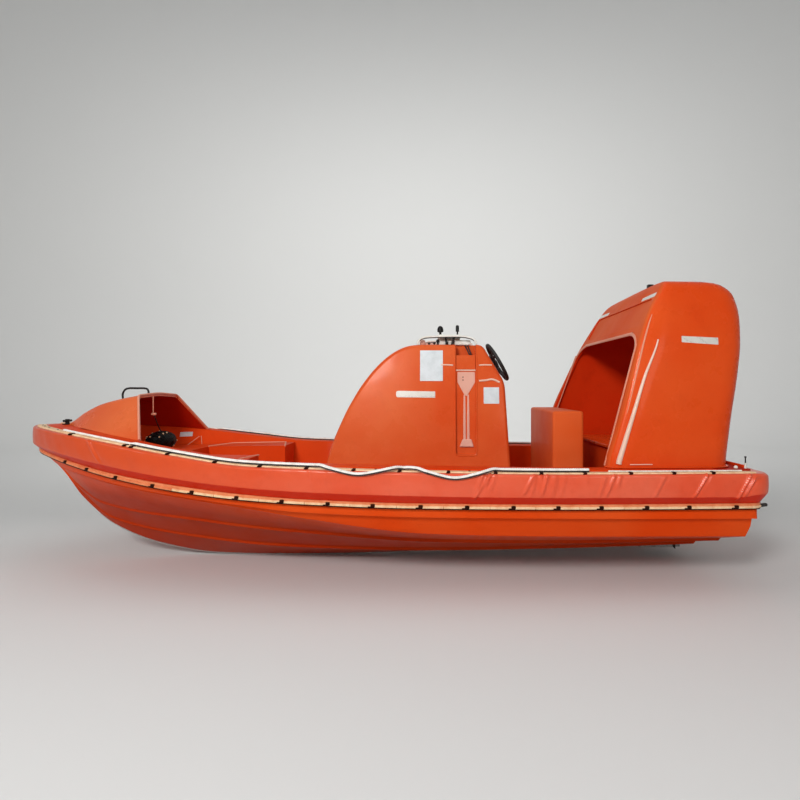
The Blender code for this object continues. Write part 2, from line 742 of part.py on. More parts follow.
def build_casing(surface, lid_surface, iron):
    """The engine casing under the hood, its lid and the engine inside it."""
    floor_z = FLOOR_Z + GAP
    low_x, high_x = -2.60, -2.0
    half = 0.70
    top_z = 0.555
    wall = 0.025
    casing = box("engine_casing", (low_x, -half, floor_z), (high_x, half, top_z), surface)
    space = box("casing_space", (low_x + wall, -half + wall, floor_z + wall),
                (high_x - wall, half - wall, top_z + 0.1), None)
    cut(casing, space)
    box("engine_hatch", (low_x + 0.02, -half, top_z + GAP), (high_x + 0.02, half, top_z + 0.03),
        lid_surface, 0.008)
    box("engine", (low_x + 0.06, -0.28, floor_z + wall + GAP),
        (high_x - 0.08, 0.28, top_z - 0.06), iron, 0.01)


def bench_width(x, clear=0.009):
    """Half-widths between the cockpit walls at the floor and at bench height, with the floor's height."""
    half_deck, half_floor, floor_z, deck_z = cockpit_facets(x)
    slope = (half_deck - half_floor) / (deck_z - floor_z)
    return half_floor - clear, half_floor + slope * (BENCH_Z - floor_z) - clear, floor_z


def build_benches(surface):
    """Side benches forward, and the locker that joins them under the cuddy."""
    for sign, side in ((1, "port"), (-1, "starboard")):
        rings = []
        for x in stations_between(0.91, LOCKER_AFT - 2 * GAP):
            half_floor, half_top, floor_z = bench_width(x)
            inner = 0.42 - 0.12 * (x - 0.91)
            rings.append([
                (x, sign * inner, floor_z + GAP),
                (x, sign * half_floor, floor_z + GAP),
                (x, sign * half_top, BENCH_Z),
                (x, sign * inner, BENCH_Z),
            ])
        loft(f"bench_{side}", rings, surface)
    rings = []
    for x in stations_between(LOCKER_AFT, LOCKER_FORE):
        half_floor, half_top, floor_z = bench_width(x, 0.022)
        rings.append([(x, -half_floor, floor_z + GAP), (x, half_floor, floor_z + GAP),
                      (x, half_top, BENCH_Z), (x, -half_top, BENCH_Z)])
    loft("bow_locker", rings, surface)


def build_stowed_net(surface):
    """A net rolled up on the bow locker: a low heap with rounded ends."""
    centre = Vector((1.89, 0.05, BENCH_Z + GAP + 0.075))
    bm = bmesh.new()
    bmesh.ops.create_icosphere(bm, subdivisions=2, radius=1.0)
    for vert in bm.verts:
        vert.co = Vector((vert.co.x * 0.14, vert.co.y * 0.23, max(vert.co.z, -0.75) * 0.10)) + centre
    return finish_mesh("stowed_net", bm, surface, 60)


def build_wheel(rubber, metal):
    """The steering wheel lies in the plane of the sloping dash, a hand's breadth off it."""
    turn = Matrix.Rotation(-DASH_SLOPE, 4, "Y")
    bm = bmesh.new()
    sides, around = 8, 32
    rings = []
    for i in range(around):
        a = 2 * math.pi * i / around
        ring = []
        for j in range(sides):
            b = 2 * math.pi * j / sides
            r = WHEEL_RADIUS - WHEEL_RIM + WHEEL_RIM * math.cos(b)
            ring.append(bm.verts.new((r * math.cos(a), r * math.sin(a), WHEEL_RIM * math.sin(b))))
        rings.append(ring)
    for i in range(around):
        near, far = rings[i], rings[(i + 1) % around]
        for j in range(sides):
            k = (j + 1) % sides
            bm.faces.new((near[j], far[j], far[k], near[k]))
    wheel = finish_mesh("steering_wheel", bm, rubber)
    wheel.matrix_world = Matrix.Translation(WHEEL_CENTRE) @ turn
    bm = bmesh.new()
    add_rod(bm, (0, 0, -0.03), (0, 0, 0.012), 0.032, 16)
    hub = finish_mesh("wheel_hub_form", bm, None)
    hub.matrix_world = wheel.matrix_world
    cut(wheel, hub, "UNION")
    for i in range(3):
        a = 2 * math.pi * i / 3 + math.pi / 2
        bm = bmesh.new()
        reach = WHEEL_RADIUS - WHEEL_RIM
        add_rod(bm, (0.02 * math.cos(a), 0.02 * math.sin(a), -0.008),
                (reach * math.cos(a), reach * math.sin(a), 0.0), 0.009, 8)
        spoke = finish_mesh(f"wheel_spoke_form_{i + 1}", bm, None)
        spoke.matrix_world = wheel.matrix_world
        cut(wheel, spoke, "UNION")
    axis = turn.to_3x3() @ Vector((0, 0, 1))
    centre = Vector(WHEEL_CENTRE)
    start = centre - axis * (0.03 + GAP)
    dash_gap = dash_distance(centre)
    end = centre - axis * (dash_gap - GAP * 2)
    rod("steering_column", start, end, 0.028, metal, 16)


def dash_distance(point):
    """Distance of a point from the sloping dash."""
    a = Vector((DASH_TOP[0], 0, DASH_TOP[1]))
    b = Vector((DASH_FOOT[0], 0, DASH_FOOT[1]))
    along = (b - a).normalized()
    normal = Vector((along.z, 0, -along.x))
    return abs((Vector(point) - a).dot(normal))


def build_console_fittings(white, black):
    """White rails along both edges of the console top, a shelf across them with the compass and a lamp
    on it, and the instrument pod below."""
    foot = CONSOLE_TOP + GAP
    rail_radius = 0.0085
    rail_top = foot + 0.070
    rail = curve_through([
        (-0.404, 0.242, foot + 0.012), (-0.415, 0.242, foot + 0.042), (-0.49, 0.238, foot + 0.066),
        (-0.57, 0.236, rail_top), (-0.76, 0.236, rail_top), (-0.86, 0.238, foot + 0.055),
        (-0.902, 0.242, foot + 0.024), (-0.905, 0.242, foot + 0.012),
    ], 3)
    rail = [(*rail[0][:2], foot), *rail, (*rail[-1][:2], foot)]
    for sign, side in ((1, "port"), (-1, "starboard")):
        pipe(f"console_rail_{side}", [(x, sign * y, z + GAP) for x, y, z in rail], rail_radius, white)
    box("instrument_panel", (-0.86, -0.18, foot), (-0.56, 0.18, foot + 0.045), white, 0.008)
    shelf_z = rail_top + rail_radius + 0.002
    box("console_shelf", (-0.78, -0.235, shelf_z), (-0.575, 0.235, shelf_z + 0.006), white)
    seat_z = shelf_z + 0.006 + GAP
    compass_x, lamp_x = -0.598, -0.752
    compass = rod("compass", (compass_x, 0, seat_z), (compass_x, 0, seat_z + 0.050), 0.016, black, 12)
    dome = rod("compass_dome_form", (compass_x, 0, seat_z + 0.045), (compass_x, 0, seat_z + 0.10),
               0.028, None, 16, 0.013)
    cut(compass, dome, "UNION")
    lamp = rod("console_lamp", (lamp_x, 0, seat_z), (lamp_x, 0, seat_z + 0.05), 0.007, black, 10)
    glass = rod("console_lamp_glass_form", (lamp_x, 0, seat_z + 0.048), (lamp_x, 0, seat_z + 0.108),
                0.015, None, 12)
    cut(lamp, glass, "UNION")


def build_jet(metal, dark):
    """Housing on the front wall of the pocket, nozzle on two upright pins, bucket on two side pins."""
    housing = rod("jet_housing", (POCKET_FORE - GAP, 0, JET_Z), (-2.69, 0, JET_Z), 0.13, metal, 24)
    tip = rod("jet_tip_form", (-2.68, 0, JET_Z), (-2.70, 0, JET_Z), 0.07, None, 24)
    cut(housing, tip, "UNION")
    for sign, end in ((1, "upper"), (-1, "lower")):
        arm = box(f"jet_{end}_arm_form", (NOZZLE_PIVOT_X - 0.022, -0.025, JET_Z + sign * 0.1175 - 0.0072),
                  (-2.672, 0.025, JET_Z + sign * 0.1175 + 0.0072), None)
        cut(housing, arm, "UNION")
    fin = box("jet_fin_form", (-2.752, -0.006, JET_Z - 0.168), (-2.712, 0.006, JET_Z - 0.115), None)
    cut(housing, fin, "UNION")
    bm = bmesh.new()
    sides = 24
    rings = []
    for x, r in ((-2.745, NOZZLE_INNER), (-2.745, NOZZLE_OUTER), (-2.81, NOZZLE_OUTER),
                 (-2.87, 0.082), (-2.87, 0.070), (-2.81, NOZZLE_INNER)):
        rings.append([bm.verts.new((x, r * math.cos(2 * math.pi * i / sides),
                                    JET_Z + r * math.sin(2 * math.pi * i / sides))) for i in range(sides)])
    for k in range(len(rings)):
        near, far = rings[k], rings[(k + 1) % len(rings)]
        for i in range(sides):
            j = (i + 1) % sides
            bm.faces.new((near[i], near[j], far[j], far[i]))
    nozzle = finish_mesh("steering_nozzle", bm, metal)
    for sign, end in ((1, "upper"), (-1, "lower")):
        pin = rod(f"nozzle_{end}_pin_form", (NOZZLE_PIVOT_X, 0, JET_Z + sign * 0.091),
                  (NOZZLE_PIVOT_X, 0, JET_Z + sign * (0.1103 - GAP)), 0.016, None, 12)
        cut(nozzle, pin, "UNION")
    for sign, end in ((1, "port"), (-1, "starboard")):
        pin = rod(f"nozzle_{end}_pin_form", (NOZZLE_PIVOT_X - 0.01, sign * 0.091, JET_Z),
                  (NOZZLE_PIVOT_X - 0.01, sign * (0.104 - GAP), JET_Z), 0.016, None, 12)
        cut(nozzle, pin, "UNION")
    bm = bmesh.new()
    pivot = Vector((NOZZLE_PIVOT_X - 0.01, 0, JET_Z))
    rings = []
    for k in range(9):
        a = BUCKET_RAISED + BUCKET_HALF_ANGLE * (2 * k / 8 - 1)
        direction = Vector((-math.cos(a), 0, math.sin(a)))
        ring = []
        for y, r in ((0.114, BUCKET_RADIUS), (0.114, BUCKET_RADIUS + BUCKET_PLATE),
                     (-0.114, BUCKET_RADIUS + BUCKET_PLATE), (-0.114, BUCKET_RADIUS)):
            ring.append(tuple(pivot + direction * r + Vector((0, y, 0))))
        rings.append(ring)
    add_loft(bm, rings)
    bucket = finish_mesh("reverse_bucket", bm, dark)
    for sign, end in ((1, "port"), (-1, "starboard")):
        outline = []
        for share in (-0.94, -0.47, 0.02, 0.48, 0.95):
            a = BUCKET_RAISED + share * BUCKET_HALF_ANGLE
            reach = BUCKET_RADIUS + BUCKET_PLATE / 2
            outline.append(pivot + Vector((-math.cos(a), 0, math.sin(a))) * reach)
        quarter = math.pi / 2 + 0.3
        for a in (BUCKET_RAISED + quarter, BUCKET_RAISED + math.pi, BUCKET_RAISED - quarter):
            outline.append(pivot + Vector((-math.cos(a), 0, math.sin(a))) * 0.024)
        bm = bmesh.new()
        add_loft(bm, [[tuple(p + Vector((0, sign * y, 0))) for p in outline] for y in (0.104, 0.1165)])
        cut(bucket, finish_mesh(f"bucket_{end}_cheek_form", bm, None), "UNION")


def build_bow_and_stern_fittings(black, metal):
    """The bollard, the handrail on the cuddy, the post aft and the lamp on the hood."""
    deck_z = deck_at(2.80)
    bm = bmesh.new()
    add_rod(bm, (2.76, 0, deck_z + GAP), (2.76, 0, deck_z + 0.008), 0.04, 16)
    bollard = finish_mesh("bow_bollard", bm, black)
    post = rod("bollard_post_form", (2.76, 0, deck_z + 0.004), (2.76, 0, deck_z + 0.048), 0.018, None, 16)
    bar = rod("bollard_bar_form", (2.76, -0.055, deck_z + 0.033), (2.76, 0.055, deck_z + 0.033),
              0.01, None, 10)
    cut(bollard, post, "UNION")
    cut(bollard, bar, "UNION")
    rail_radius = 0.009
    fore_x, aft_x = 2.26, 2.03
    fore_z, aft_z = (crown_at(x - rail_radius) + 0.0004 for x in (fore_x, aft_x))
    rail = curve_through([(fore_x, 0.0, fore_z + 0.012), (fore_x, 0.0, fore_z + 0.06),
                          (fore_x - 0.035, 0.0, 1.052), (2.13, 0.0, 1.056), (aft_x + 0.02, 0.0, 1.053),
                          (aft_x, 0.0, aft_z + 0.03), (aft_x, 0.0, aft_z + 0.012)], 3)
    rail = [(fore_x, 0.0, fore_z), *rail, (aft_x, 0.0, aft_z)]
    pipe("cuddy_handrail", rail, rail_radius, metal)
    post_deck = deck_at(-2.87)
    post = rod("stern_post", (-2.87, 0.90, post_deck + GAP), (-2.87, 0.90, post_deck + 0.004),
               0.02, black, 12)
    shaft = rod("post_shaft_form", (-2.87, 0.90, post_deck + 0.002), (-2.87, 0.90, post_deck + 0.10),
                0.007, None, 10)
    cut(post, shaft, "UNION")
    light_z = HOOD_LEVELS[-1][0]
    box("hood_light", (-2.44, 0.178, light_z), (-2.39, 0.222, light_z + 0.035), black, 0.006)


def build():
    clear_scene()
    gelcoat = material("orange gelcoat", (0.76, 0.10, 0.02), 0.28)
    liner = material("orange gelcoat inside", (0.70, 0.09, 0.02), 0.35)
    cover = material("coated fabric", (0.72, 0.12, 0.06), 0.5)
    strip = material("pale strip", (0.75, 0.48, 0.28), 0.5)
    rope = material("white rope", (0.8, 0.78, 0.72), 0.8)
    white = material("white gelcoat", (0.8, 0.8, 0.77), 0.3)
    black = material("black plastic", (0.02, 0.02, 0.02), 0.45)
    steel = material("stainless steel", (0.6, 0.6, 0.6), 0.25, 1.0)
    iron = material("painted iron", (0.12, 0.14, 0.15), 0.5)
    build_hull(gelcoat)
    build_keel_band(steel)
    build_intake(iron)
    build_liner(liner)
    build_end_deck("foredeck", COCKPIT_FORE, WALL[3][0], 0.0, liner)
    build_end_deck("aft_deck", -2.88, COCKPIT_AFT, 0.0, liner)
    build_fenders(cover)
    build_strips(strip)
    build_lifelines(rope)
    build_cuddy(gelcoat)
    build_benches(liner)
    build_stowed_net(black)
    build_console(gelcoat)
    build_console_fittings(white, black)
    build_wheel(black, steel)
    box("seat_box", (-1.75, -0.56, FLOOR_Z + GAP), (-1.50, 0.56, 0.87), gelcoat, 0.012)
    build_hood(gelcoat)
    build_casing(liner, gelcoat, iron)
    build_bow_and_stern_fittings(black, steel)
    build_jet(steel, iron)


build()
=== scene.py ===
"""The looks of a 6 m rigid rescue boat: X forward, Y to port, Z up, metres, Z = 0 at the waterline."""

import math

import bmesh
import bpy
import numpy as np
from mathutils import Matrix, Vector


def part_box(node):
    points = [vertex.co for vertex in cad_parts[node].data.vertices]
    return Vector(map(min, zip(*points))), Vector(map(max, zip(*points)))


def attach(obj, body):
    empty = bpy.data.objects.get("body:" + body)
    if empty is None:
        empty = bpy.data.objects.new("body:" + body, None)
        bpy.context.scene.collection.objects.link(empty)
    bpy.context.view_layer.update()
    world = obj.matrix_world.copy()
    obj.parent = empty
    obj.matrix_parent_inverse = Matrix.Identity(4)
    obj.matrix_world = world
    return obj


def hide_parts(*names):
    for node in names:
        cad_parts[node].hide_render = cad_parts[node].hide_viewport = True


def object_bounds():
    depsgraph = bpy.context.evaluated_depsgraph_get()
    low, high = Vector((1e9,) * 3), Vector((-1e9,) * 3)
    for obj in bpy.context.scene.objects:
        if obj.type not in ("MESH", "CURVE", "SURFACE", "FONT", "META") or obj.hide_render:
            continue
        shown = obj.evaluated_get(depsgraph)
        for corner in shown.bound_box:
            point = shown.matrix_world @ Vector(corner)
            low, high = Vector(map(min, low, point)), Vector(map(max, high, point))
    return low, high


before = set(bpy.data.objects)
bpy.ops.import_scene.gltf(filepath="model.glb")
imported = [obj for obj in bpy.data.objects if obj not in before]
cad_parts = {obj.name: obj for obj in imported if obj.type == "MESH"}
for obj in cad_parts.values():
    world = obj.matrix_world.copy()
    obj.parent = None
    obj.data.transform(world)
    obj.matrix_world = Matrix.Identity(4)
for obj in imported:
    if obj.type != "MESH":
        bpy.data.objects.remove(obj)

cad_low, cad_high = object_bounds()

# Lines of the boat, as its solids have them

GAP = 0.0003
SKIN = 0.012
BOND_LINE = 0.01
FENDER_DEPTH = 0.112
LEDGE_DEPTH = 0.042
COCKPIT_AFT = -2.62
COCKPIT_FORE = 2.45
TRANSOM_X = -2.9
POCKET_FORE = -2.66
POCKET_HALF = 0.26
POCKET_TOP = 0.10
INTAKE_FORE = -2.36
INTAKE_HALF = 0.085
INTAKE_TOP = -0.27
RAKE_TOP = (-2.858, -0.072)
BAND_FOOT = (-2.905, 0.078)
RAKE_FOOT = (-2.67, -0.345)
FLOOR_Z = 0.06

# Plan of the hull side behind the fender, bow to quarter: x, half-breadth
WALL_PLAN = (
    (2.888, 0.0),
    (2.835, 0.14),
    (2.69, 0.30),
    (2.36, 0.535),
    (1.95, 0.735),
    (1.5, 0.885),
    (1.0, 0.978),
    (0.4, 1.028),
    (-0.5, 1.043),
    (-1.4, 1.032),
    (-2.2, 1.0),
    (-2.86, 0.962),
)
CORNER_RADIUS = 0.03

# Lines of the hull bottom: x, keel z, lower strake y z, upper strake y z, chine y z, band y z
HULL_LINES = (
    (-3.00, -0.330, 0.33, -0.240, 0.62, -0.145, 0.905, -0.056, 0.988, 0.097),
    (-1.50, -0.378, 0.35, -0.285, 0.66, -0.160, 0.945, -0.048, 1.056, 0.111),
    (-0.50, -0.397, 0.35, -0.300, 0.67, -0.145, 0.960, -0.024, 1.066, 0.122),
    (0.40, -0.421, 0.34, -0.284, 0.65, -0.088, 0.975, 0.091, 1.050, 0.154),
    (0.90, -0.424, 0.33, -0.260, 0.62, -0.050, 0.955, 0.170, 1.008, 0.202),
    (1.40, -0.410, 0.29, -0.215, 0.54, -0.005, 0.880, 0.231, 0.928, 0.258),
    (1.90, -0.325, 0.19, -0.165, 0.40, 0.025, 0.725, 0.288, 0.768, 0.314),
    (2.30, -0.168, 0.10, -0.085, 0.23, 0.065, 0.530, 0.342, 0.580, 0.371),
    (2.60, 0.080, 0.05, 0.130, 0.11, 0.205, 0.325, 0.382, 0.372, 0.414),
    (2.77, 0.305, 0.035, 0.335, 0.06, 0.375, 0.165, 0.431, 0.212, 0.453),
    (2.90, 0.445, 0.030, 0.460, 0.04, 0.475, 0.050, 0.490, 0.060, 0.500),
)

# Heights along the side: x, ledge, fender bottom, fender face bottom, fender top, deck. The moulded deck is
# drawn up to 30 mm lower than the solid of the frame, so that the strip nearly hides it, as in the photograph
SIDE_HEIGHTS = (
    (-3.0, 0.180, 0.218, 0.272, 0.437, 0.456),
    (-1.5, 0.186, 0.222, 0.277, 0.440, 0.459),
    (-0.35, 0.198, 0.234, 0.295, 0.458, 0.477),
    (0.36, 0.222, 0.258, 0.318, 0.478, 0.493),
    (0.82, 0.248, 0.288, 0.346, 0.496, 0.512),
    (1.35, 0.299, 0.341, 0.400, 0.562, 0.577),
    (1.90, 0.374, 0.406, 0.473, 0.640, 0.660),
    (2.45, 0.464, 0.490, 0.545, 0.700, 0.715),
    (3.00, 0.540, 0.566, 0.604, 0.740, 0.745),
)

# The cockpit: x, half-width at the deck, half-width at the floor, floor height
COCKPIT = (
    (-3.0, 0.80, 0.74, FLOOR_Z),
    (-1.5, 0.86, 0.80, FLOOR_Z),
    (0.5, 0.87, 0.77, FLOOR_Z),
    (1.0, 0.82, 0.68, 0.09),
    (1.6, 0.70, 0.56, 0.15),
    (2.1, 0.50, 0.36, 0.28),
    (2.5, 0.30, 0.16, 0.44),
)

# The cuddy over the bow: x at its base, base half-width, x of its top, top half-width, top z, crown z
CUDDY = (
    (1.765, 0.685, 1.936, 0.360, 0.995, 1.013),
    (2.04, 0.562, 2.120, 0.295, 0.965, 0.978),
    (2.33, 0.380, 2.330, 0.210, 0.920, 0.930),
    (2.56, 0.200, 2.540, 0.110, 0.842, 0.848),
    (2.66, 0.100, 2.650, 0.050, 0.783, 0.786),
    (2.71, 0.060, 2.705, 0.028, 0.750, 0.751),
)
CUDDY_WALL = 0.02
CUDDY_RIM = 0.024
CUDDY_RIM_DEPTH = 0.025

# The console from its side: x, z
CONSOLE_TOP = 1.430
CONSOLE_SIDE = (
    (0.415, FLOOR_Z + GAP),
    (0.359, 0.436),
    (0.301, 0.629),
    (0.200, 0.864),
    (0.091, 1.057),
    (-0.018, 1.204),
    (-0.127, 1.314),
    (-0.232, 1.386),
    (-0.350, CONSOLE_TOP),
    (-0.955, CONSOLE_TOP),
    (-1.145, 1.105),
    (-1.184, 0.411),
    (-1.196, FLOOR_Z + GAP),
)
CONSOLE_BASE_HALF = 0.42
CONSOLE_TOP_HALF = 0.27
CHANNEL_AFT = -0.905
CHANNEL_FORE = -0.722
CHANNEL_DEPTH = 0.035
CHANNEL_FOOT = 0.49
HOSE_RECESS = 1.338

# Levels of the hood: z, front rim x to port, to starboard, corner x, aft x, half-width of the rim, of the
# side, of the aft end
HOOD_LEVELS = (
    (0.505, -1.842, -1.680, -1.940, -2.785, 0.900, 0.940, 0.880),
    (0.86, -1.955, -1.780, -2.055, -2.840, 0.885, 0.915, 0.860),
    (1.14, -2.030, -1.900, -2.145, -2.893, 0.865, 0.895, 0.840),
    (1.42, -2.105, -2.030, -2.255, -2.930, 0.835, 0.865, 0.815),
    (1.60, -2.170, -2.130, -2.290, -2.935, 0.800, 0.835, 0.790),
    (1.78, -2.265, -2.240, -2.310, -2.905, 0.760, 0.795, 0.750),
    (1.86, -2.310, -2.300, -2.330, -2.835, 0.725, 0.760, 0.715),
    (1.887, -2.335, -2.330, -2.345, -2.765, 0.690, 0.715, 0.680),
    (1.905, -2.355, -2.355, -2.365, -2.700, 0.450, 0.460, 0.450),
    (1.917, -2.375, -2.375, -2.385, -2.620, 0.160, 0.170, 0.160),
)
HOOD_WALL = 0.03
# The dash slopes by these two lengths, along and up; the wheel is parallel to it
DASH = (0.190, 0.325)
WHEEL_CENTRE = (-1.110, 0.0, 1.290)
WHEEL_RADIUS = 0.19
RIM_RADIUS = 0.016
OPENING_TOP = 1.485
OPENING_LOW_HALF = 0.84
OPENING_TOP_HALF = 0.79
OPENING_CORNER = (0.24, 0.15)

# Hooks of the upper strip, clips of the lower strip and bolts of the upper one, by their x
HOOKS = (2.28, 1.74, 1.68, 1.38, 1.018, 0.689, 0.354, 0.02, -0.305, -0.65, -0.984, -1.309, -1.62, -1.95,
         -2.263, -2.551)
CLIPS = (2.372, 2.125, 1.839, 1.516, 1.203, 0.866, 0.537, 0.208, -0.112, -0.452, -0.782, -1.112, -1.432,
         -1.741, -2.071, -2.380, -2.730)
BOLTS = (2.80, 2.74, 2.66, 2.52, 2.40, 2.10, -0.13, -0.80)
STRIP_DEPTH = 0.066
STRIP_HEIGHT = 0.010
# The lifeline is thicker than its solid, and tapers to its fore radius between two places
ROPE_RADIUS = 0.0145
FORE_ROPE_RADIUS = 0.0095
SOLID_ROPE_RADIUS = 0.008
ROPE_TAPER = (1.68, 1.74)
ROPE_POINTS = 78

# Route of the lifeline, as its solid has it: x, distance out from the hull side, height over the fender top
LIFELINE = (
    (2.42, 0.048, 0.0187),
    (2.10, 0.048, 0.0187),
    (1.64, 0.048, 0.0187),
    (1.20, 0.048, 0.0187),
    (0.80, 0.048, 0.0187),
    (0.45, 0.048, 0.0187),
    (0.322, 0.050, 0.0190),
    (0.25, 0.092, 0.0245),
    (0.16, 0.124, 0.006),
    (-0.01, 0.1265, -0.024),
    (-0.18, 0.124, 0.006),
    (-0.27, 0.092, 0.0245),
    (-0.342, 0.050, 0.0190),
    (-0.42, 0.092, 0.0245),
    (-0.51, 0.124, 0.002),
    (-0.69, 0.1265, -0.036),
    (-0.87, 0.124, 0.002),
    (-0.95, 0.092, 0.0245),
    (-1.025, 0.050, 0.0190),
    (-1.345, 0.048, 0.0187),
    (-1.56, 0.048, 0.0187),
    (-1.655, 0.048, 0.0187),
)

# Route of a thinner line that carries on along the strip to the quarter, as its solid has it
AFT_LINE_RADIUS = 0.006
AFT_LINE_POINTS = 40
AFT_LINE = (
    (-1.80, 0.040, 0.0167),
    (-2.00, 0.046, 0.0167),
    (-2.40, 0.046, 0.0167),
    (-2.78, 0.046, 0.0167),
)

# Folds of the collar's cover on the port side: x at the top, x at the bottom, share of the height where it
# starts and ends (1 at the top edge, 0 at the bottom edge of the face), depth in mm, half-width in mm
PORT_FOLDS = (
    (2.066, 1.936, 0.95, 0.05, 1.6, 10),
    (0.326, 0.326, 1.0, 0.5, 0.8, 9),
    (0.216, 0.206, 1.0, 0.6, 0.6, 8),
    (-0.891, -0.828, 1.0, 0.30, 3.2, 10),
    (-0.944, -0.879, 1.0, 0.45, 3.6, 8),
    (-0.937, -0.837, 0.85, -0.15, 3.0, 9),
    (-0.974, -0.924, 1.0, 0.20, 1.8, 12),
    (-1.251, -1.165, 1.0, 0.10, 3.0, 10),
    (-1.268, -1.222, 1.0, 0.05, 2.0, 9),
    (-1.304, -1.294, 1.0, 0.75, 2.4, 6),
    (-1.347, -1.3, 1.0, 0.10, 3.4, 9),
    (-1.408, -1.375, 0.95, 0.05, 1.6, 12),
    (-1.471, -1.436, 0.95, 0.1, 1.0, 12),
    (-1.624, -1.614, 1.0, 0.6, 1.0, 9),
    (-1.758, -1.707, 0.85, 0.05, 2.0, 11),
    (-1.824, -1.754, 1.0, 0.05, 3.4, 9),
    (-1.864, -1.824, 1.0, 0.45, 2.4, 10),
    (-2.191, -2.104, 0.85, 0.0, 2.4, 9),
    (-2.494, -2.393, 1.0, 0.0, 4.2, 8),
    (-2.814, -2.719, 0.95, -0.15, 4.4, 9),
    (-2.859, -2.764, 0.80, 0.0, 4.0, 9),
)

# The camera: place, height and framing of the photograph's view from port
CAMERA_PLACE = (-0.57, 5.255, 1.04)
CAMERA_LENS = 26.26
CAMERA_SHIFT = (-0.0465, -0.0125)
FLOOR_LEVEL = float(cad_low[2]) - 0.001


# Numbers and curves

def smooth_rows(rows, at):
    """The columns of a table read at each x of `at`, by cubic curves through the rows with no overshoot."""
    rows = np.array(rows, float)
    xs = rows[:, 0]
    slopes = np.diff(rows[:, 1:], axis=0) / np.diff(xs)[:, None]
    tangents = np.zeros_like(rows[:, 1:])
    same_way = slopes[:-1] * slopes[1:] > 0
    harmonic = 2 * slopes[:-1] * slopes[1:] / np.where(same_way, slopes[:-1] + slopes[1:], 1)
    tangents[1:-1] = np.where(same_way, harmonic, 0)
    tangents[0] = slopes[0]
    tangents[-1] = slopes[-1]
    at = np.clip(np.atleast_1d(np.asarray(at, float)), xs[0], xs[-1])
    index = np.clip(np.searchsorted(xs, at, side="right") - 1, 0, len(xs) - 2)
    width = (xs[index + 1] - xs[index])[:, None]
    t = (at - xs[index])[:, None] / width
    start = rows[index, 1:]
    end = rows[index + 1, 1:]
    return (
        (2 * t**3 - 3 * t**2 + 1) * start
        + (t**3 - 2 * t**2 + t) * width * tangents[index]
        + (3 * t**2 - 2 * t**3) * end
        + (t**3 - t**2) * width * tangents[index + 1]
    )


def curve_through(points, per_span):
    """Points along a Catmull-Rom curve through `points`, with `per_span` steps between each pair."""
    points = np.array(points, float)
    padded = np.vstack([2 * points[0] - points[1], points, 2 * points[-1] - points[-2]])
    span = np.repeat(np.arange(len(points) - 1), per_span)
    t = np.tile(np.arange(per_span) / per_span, len(points) - 1)[:, None]
    p0, p1, p2, p3 = (padded[span + k] for k in range(4))
    inner = 0.5 * (2 * p1 + (p2 - p0) * t + (2 * p0 - 5 * p1 + 4 * p2 - p3) * t * t
                   + (3 * p1 - p0 - 3 * p2 + p3) * t**3)
    return np.vstack([inner, points[-1:]])


def unit(vectors):
    return vectors / np.maximum(np.linalg.norm(vectors, axis=-1, keepdims=True), 1e-12)


def evenly(points, step):
    """The same line with points a step apart, measured along it."""
    lengths = np.concatenate([[0], np.cumsum(np.linalg.norm(np.diff(points, axis=0), axis=1))])
    count = max(2, int(round(lengths[-1] / step)) + 1)
    at = np.linspace(0, lengths[-1], count)
    return np.stack([np.interp(at, lengths, column) for column in points.T], axis=1)


def rounded(corners, radius, steps=4, closed=True):
    """Lines of corners, one line for each row. Each corner becomes a parabola that leaves its two legs
    a radius from the corner, or at just under half a leg where that is shorter."""
    corners = np.asarray(corners, float)
    before = np.roll(corners, 1, axis=-2) - corners
    after = np.roll(corners, -1, axis=-2) - corners
    radius = np.broadcast_to(np.asarray(radius, float), corners.shape[-2:-1]).copy()
    if not closed:
        radius[0] = radius[-1] = 0.0
    pulls = []
    for leg in (before, after):
        length = np.maximum(np.linalg.norm(leg, axis=-1), 1e-9)
        pulls.append(leg * np.minimum(0.49, radius / length)[..., None])
    t = np.linspace(0, 1, steps + 1)[:, None]
    start = (corners + pulls[0])[..., None, :]
    end = (corners + pulls[1])[..., None, :]
    middle = corners[..., None, :]
    curve = (1 - t) ** 2 * start + 2 * t * (1 - t) * middle + t**2 * end
    out = curve.reshape(*corners.shape[:-2], -1, corners.shape[-1])
    if not closed:
        out = out[..., steps:-steps, :]
    return out


def smooth_step(value, low, high):
    t = np.clip((value - low) / (high - low), 0, 1)
    return t * t * (3 - 2 * t)


def side_line(per_span):
    """The hull side in plan from the stem round the port quarter: points and outward normals."""
    side = curve_through(((2.835, -0.14),) + WALL_PLAN, per_span)[per_span:]
    corner = side[-1] - [0.0, CORNER_RADIUS]
    turns = np.linspace(0, math.pi / 2, per_span + 1)[1:]
    arc = corner + CORNER_RADIUS * np.stack([-np.sin(turns), np.cos(turns)], axis=1)
    return with_normals(np.vstack([side, arc]), [0.0, -0.05])


def with_normals(points, onward):
    ahead = np.vstack([points[1:], points[-1] + onward])
    behind = np.vstack([[points[1][0], -points[1][1]], points[:-1]])
    along = unit(ahead - behind)
    return points, np.stack([along[:, 1], -along[:, 0]], axis=1)


def collar_line(step):
    """Half of the line round the boat, from the stem round the port quarter to the middle of the transom."""
    points, _ = side_line(24)
    across = np.array([[points[-1][0], 0.0]])
    points = evenly(np.vstack([points, across]), step)
    return with_normals(points, [0.0, -step])


def offset_rows(points, normals, out, heights):
    """Rows of 3-D points: each plan point carried outward by the columns of `out`, at those heights."""
    plan = points[:, None, :] + normals[:, None, :] * out[..., None]
    return np.concatenate([plan, heights[..., None]], axis=-1)


def with_mirror(half):
    """Closed rings from their port halves."""
    other = half[..., ::-1, :] * [1, -1, 1]
    return np.concatenate([half, other], axis=-2)


# Meshes


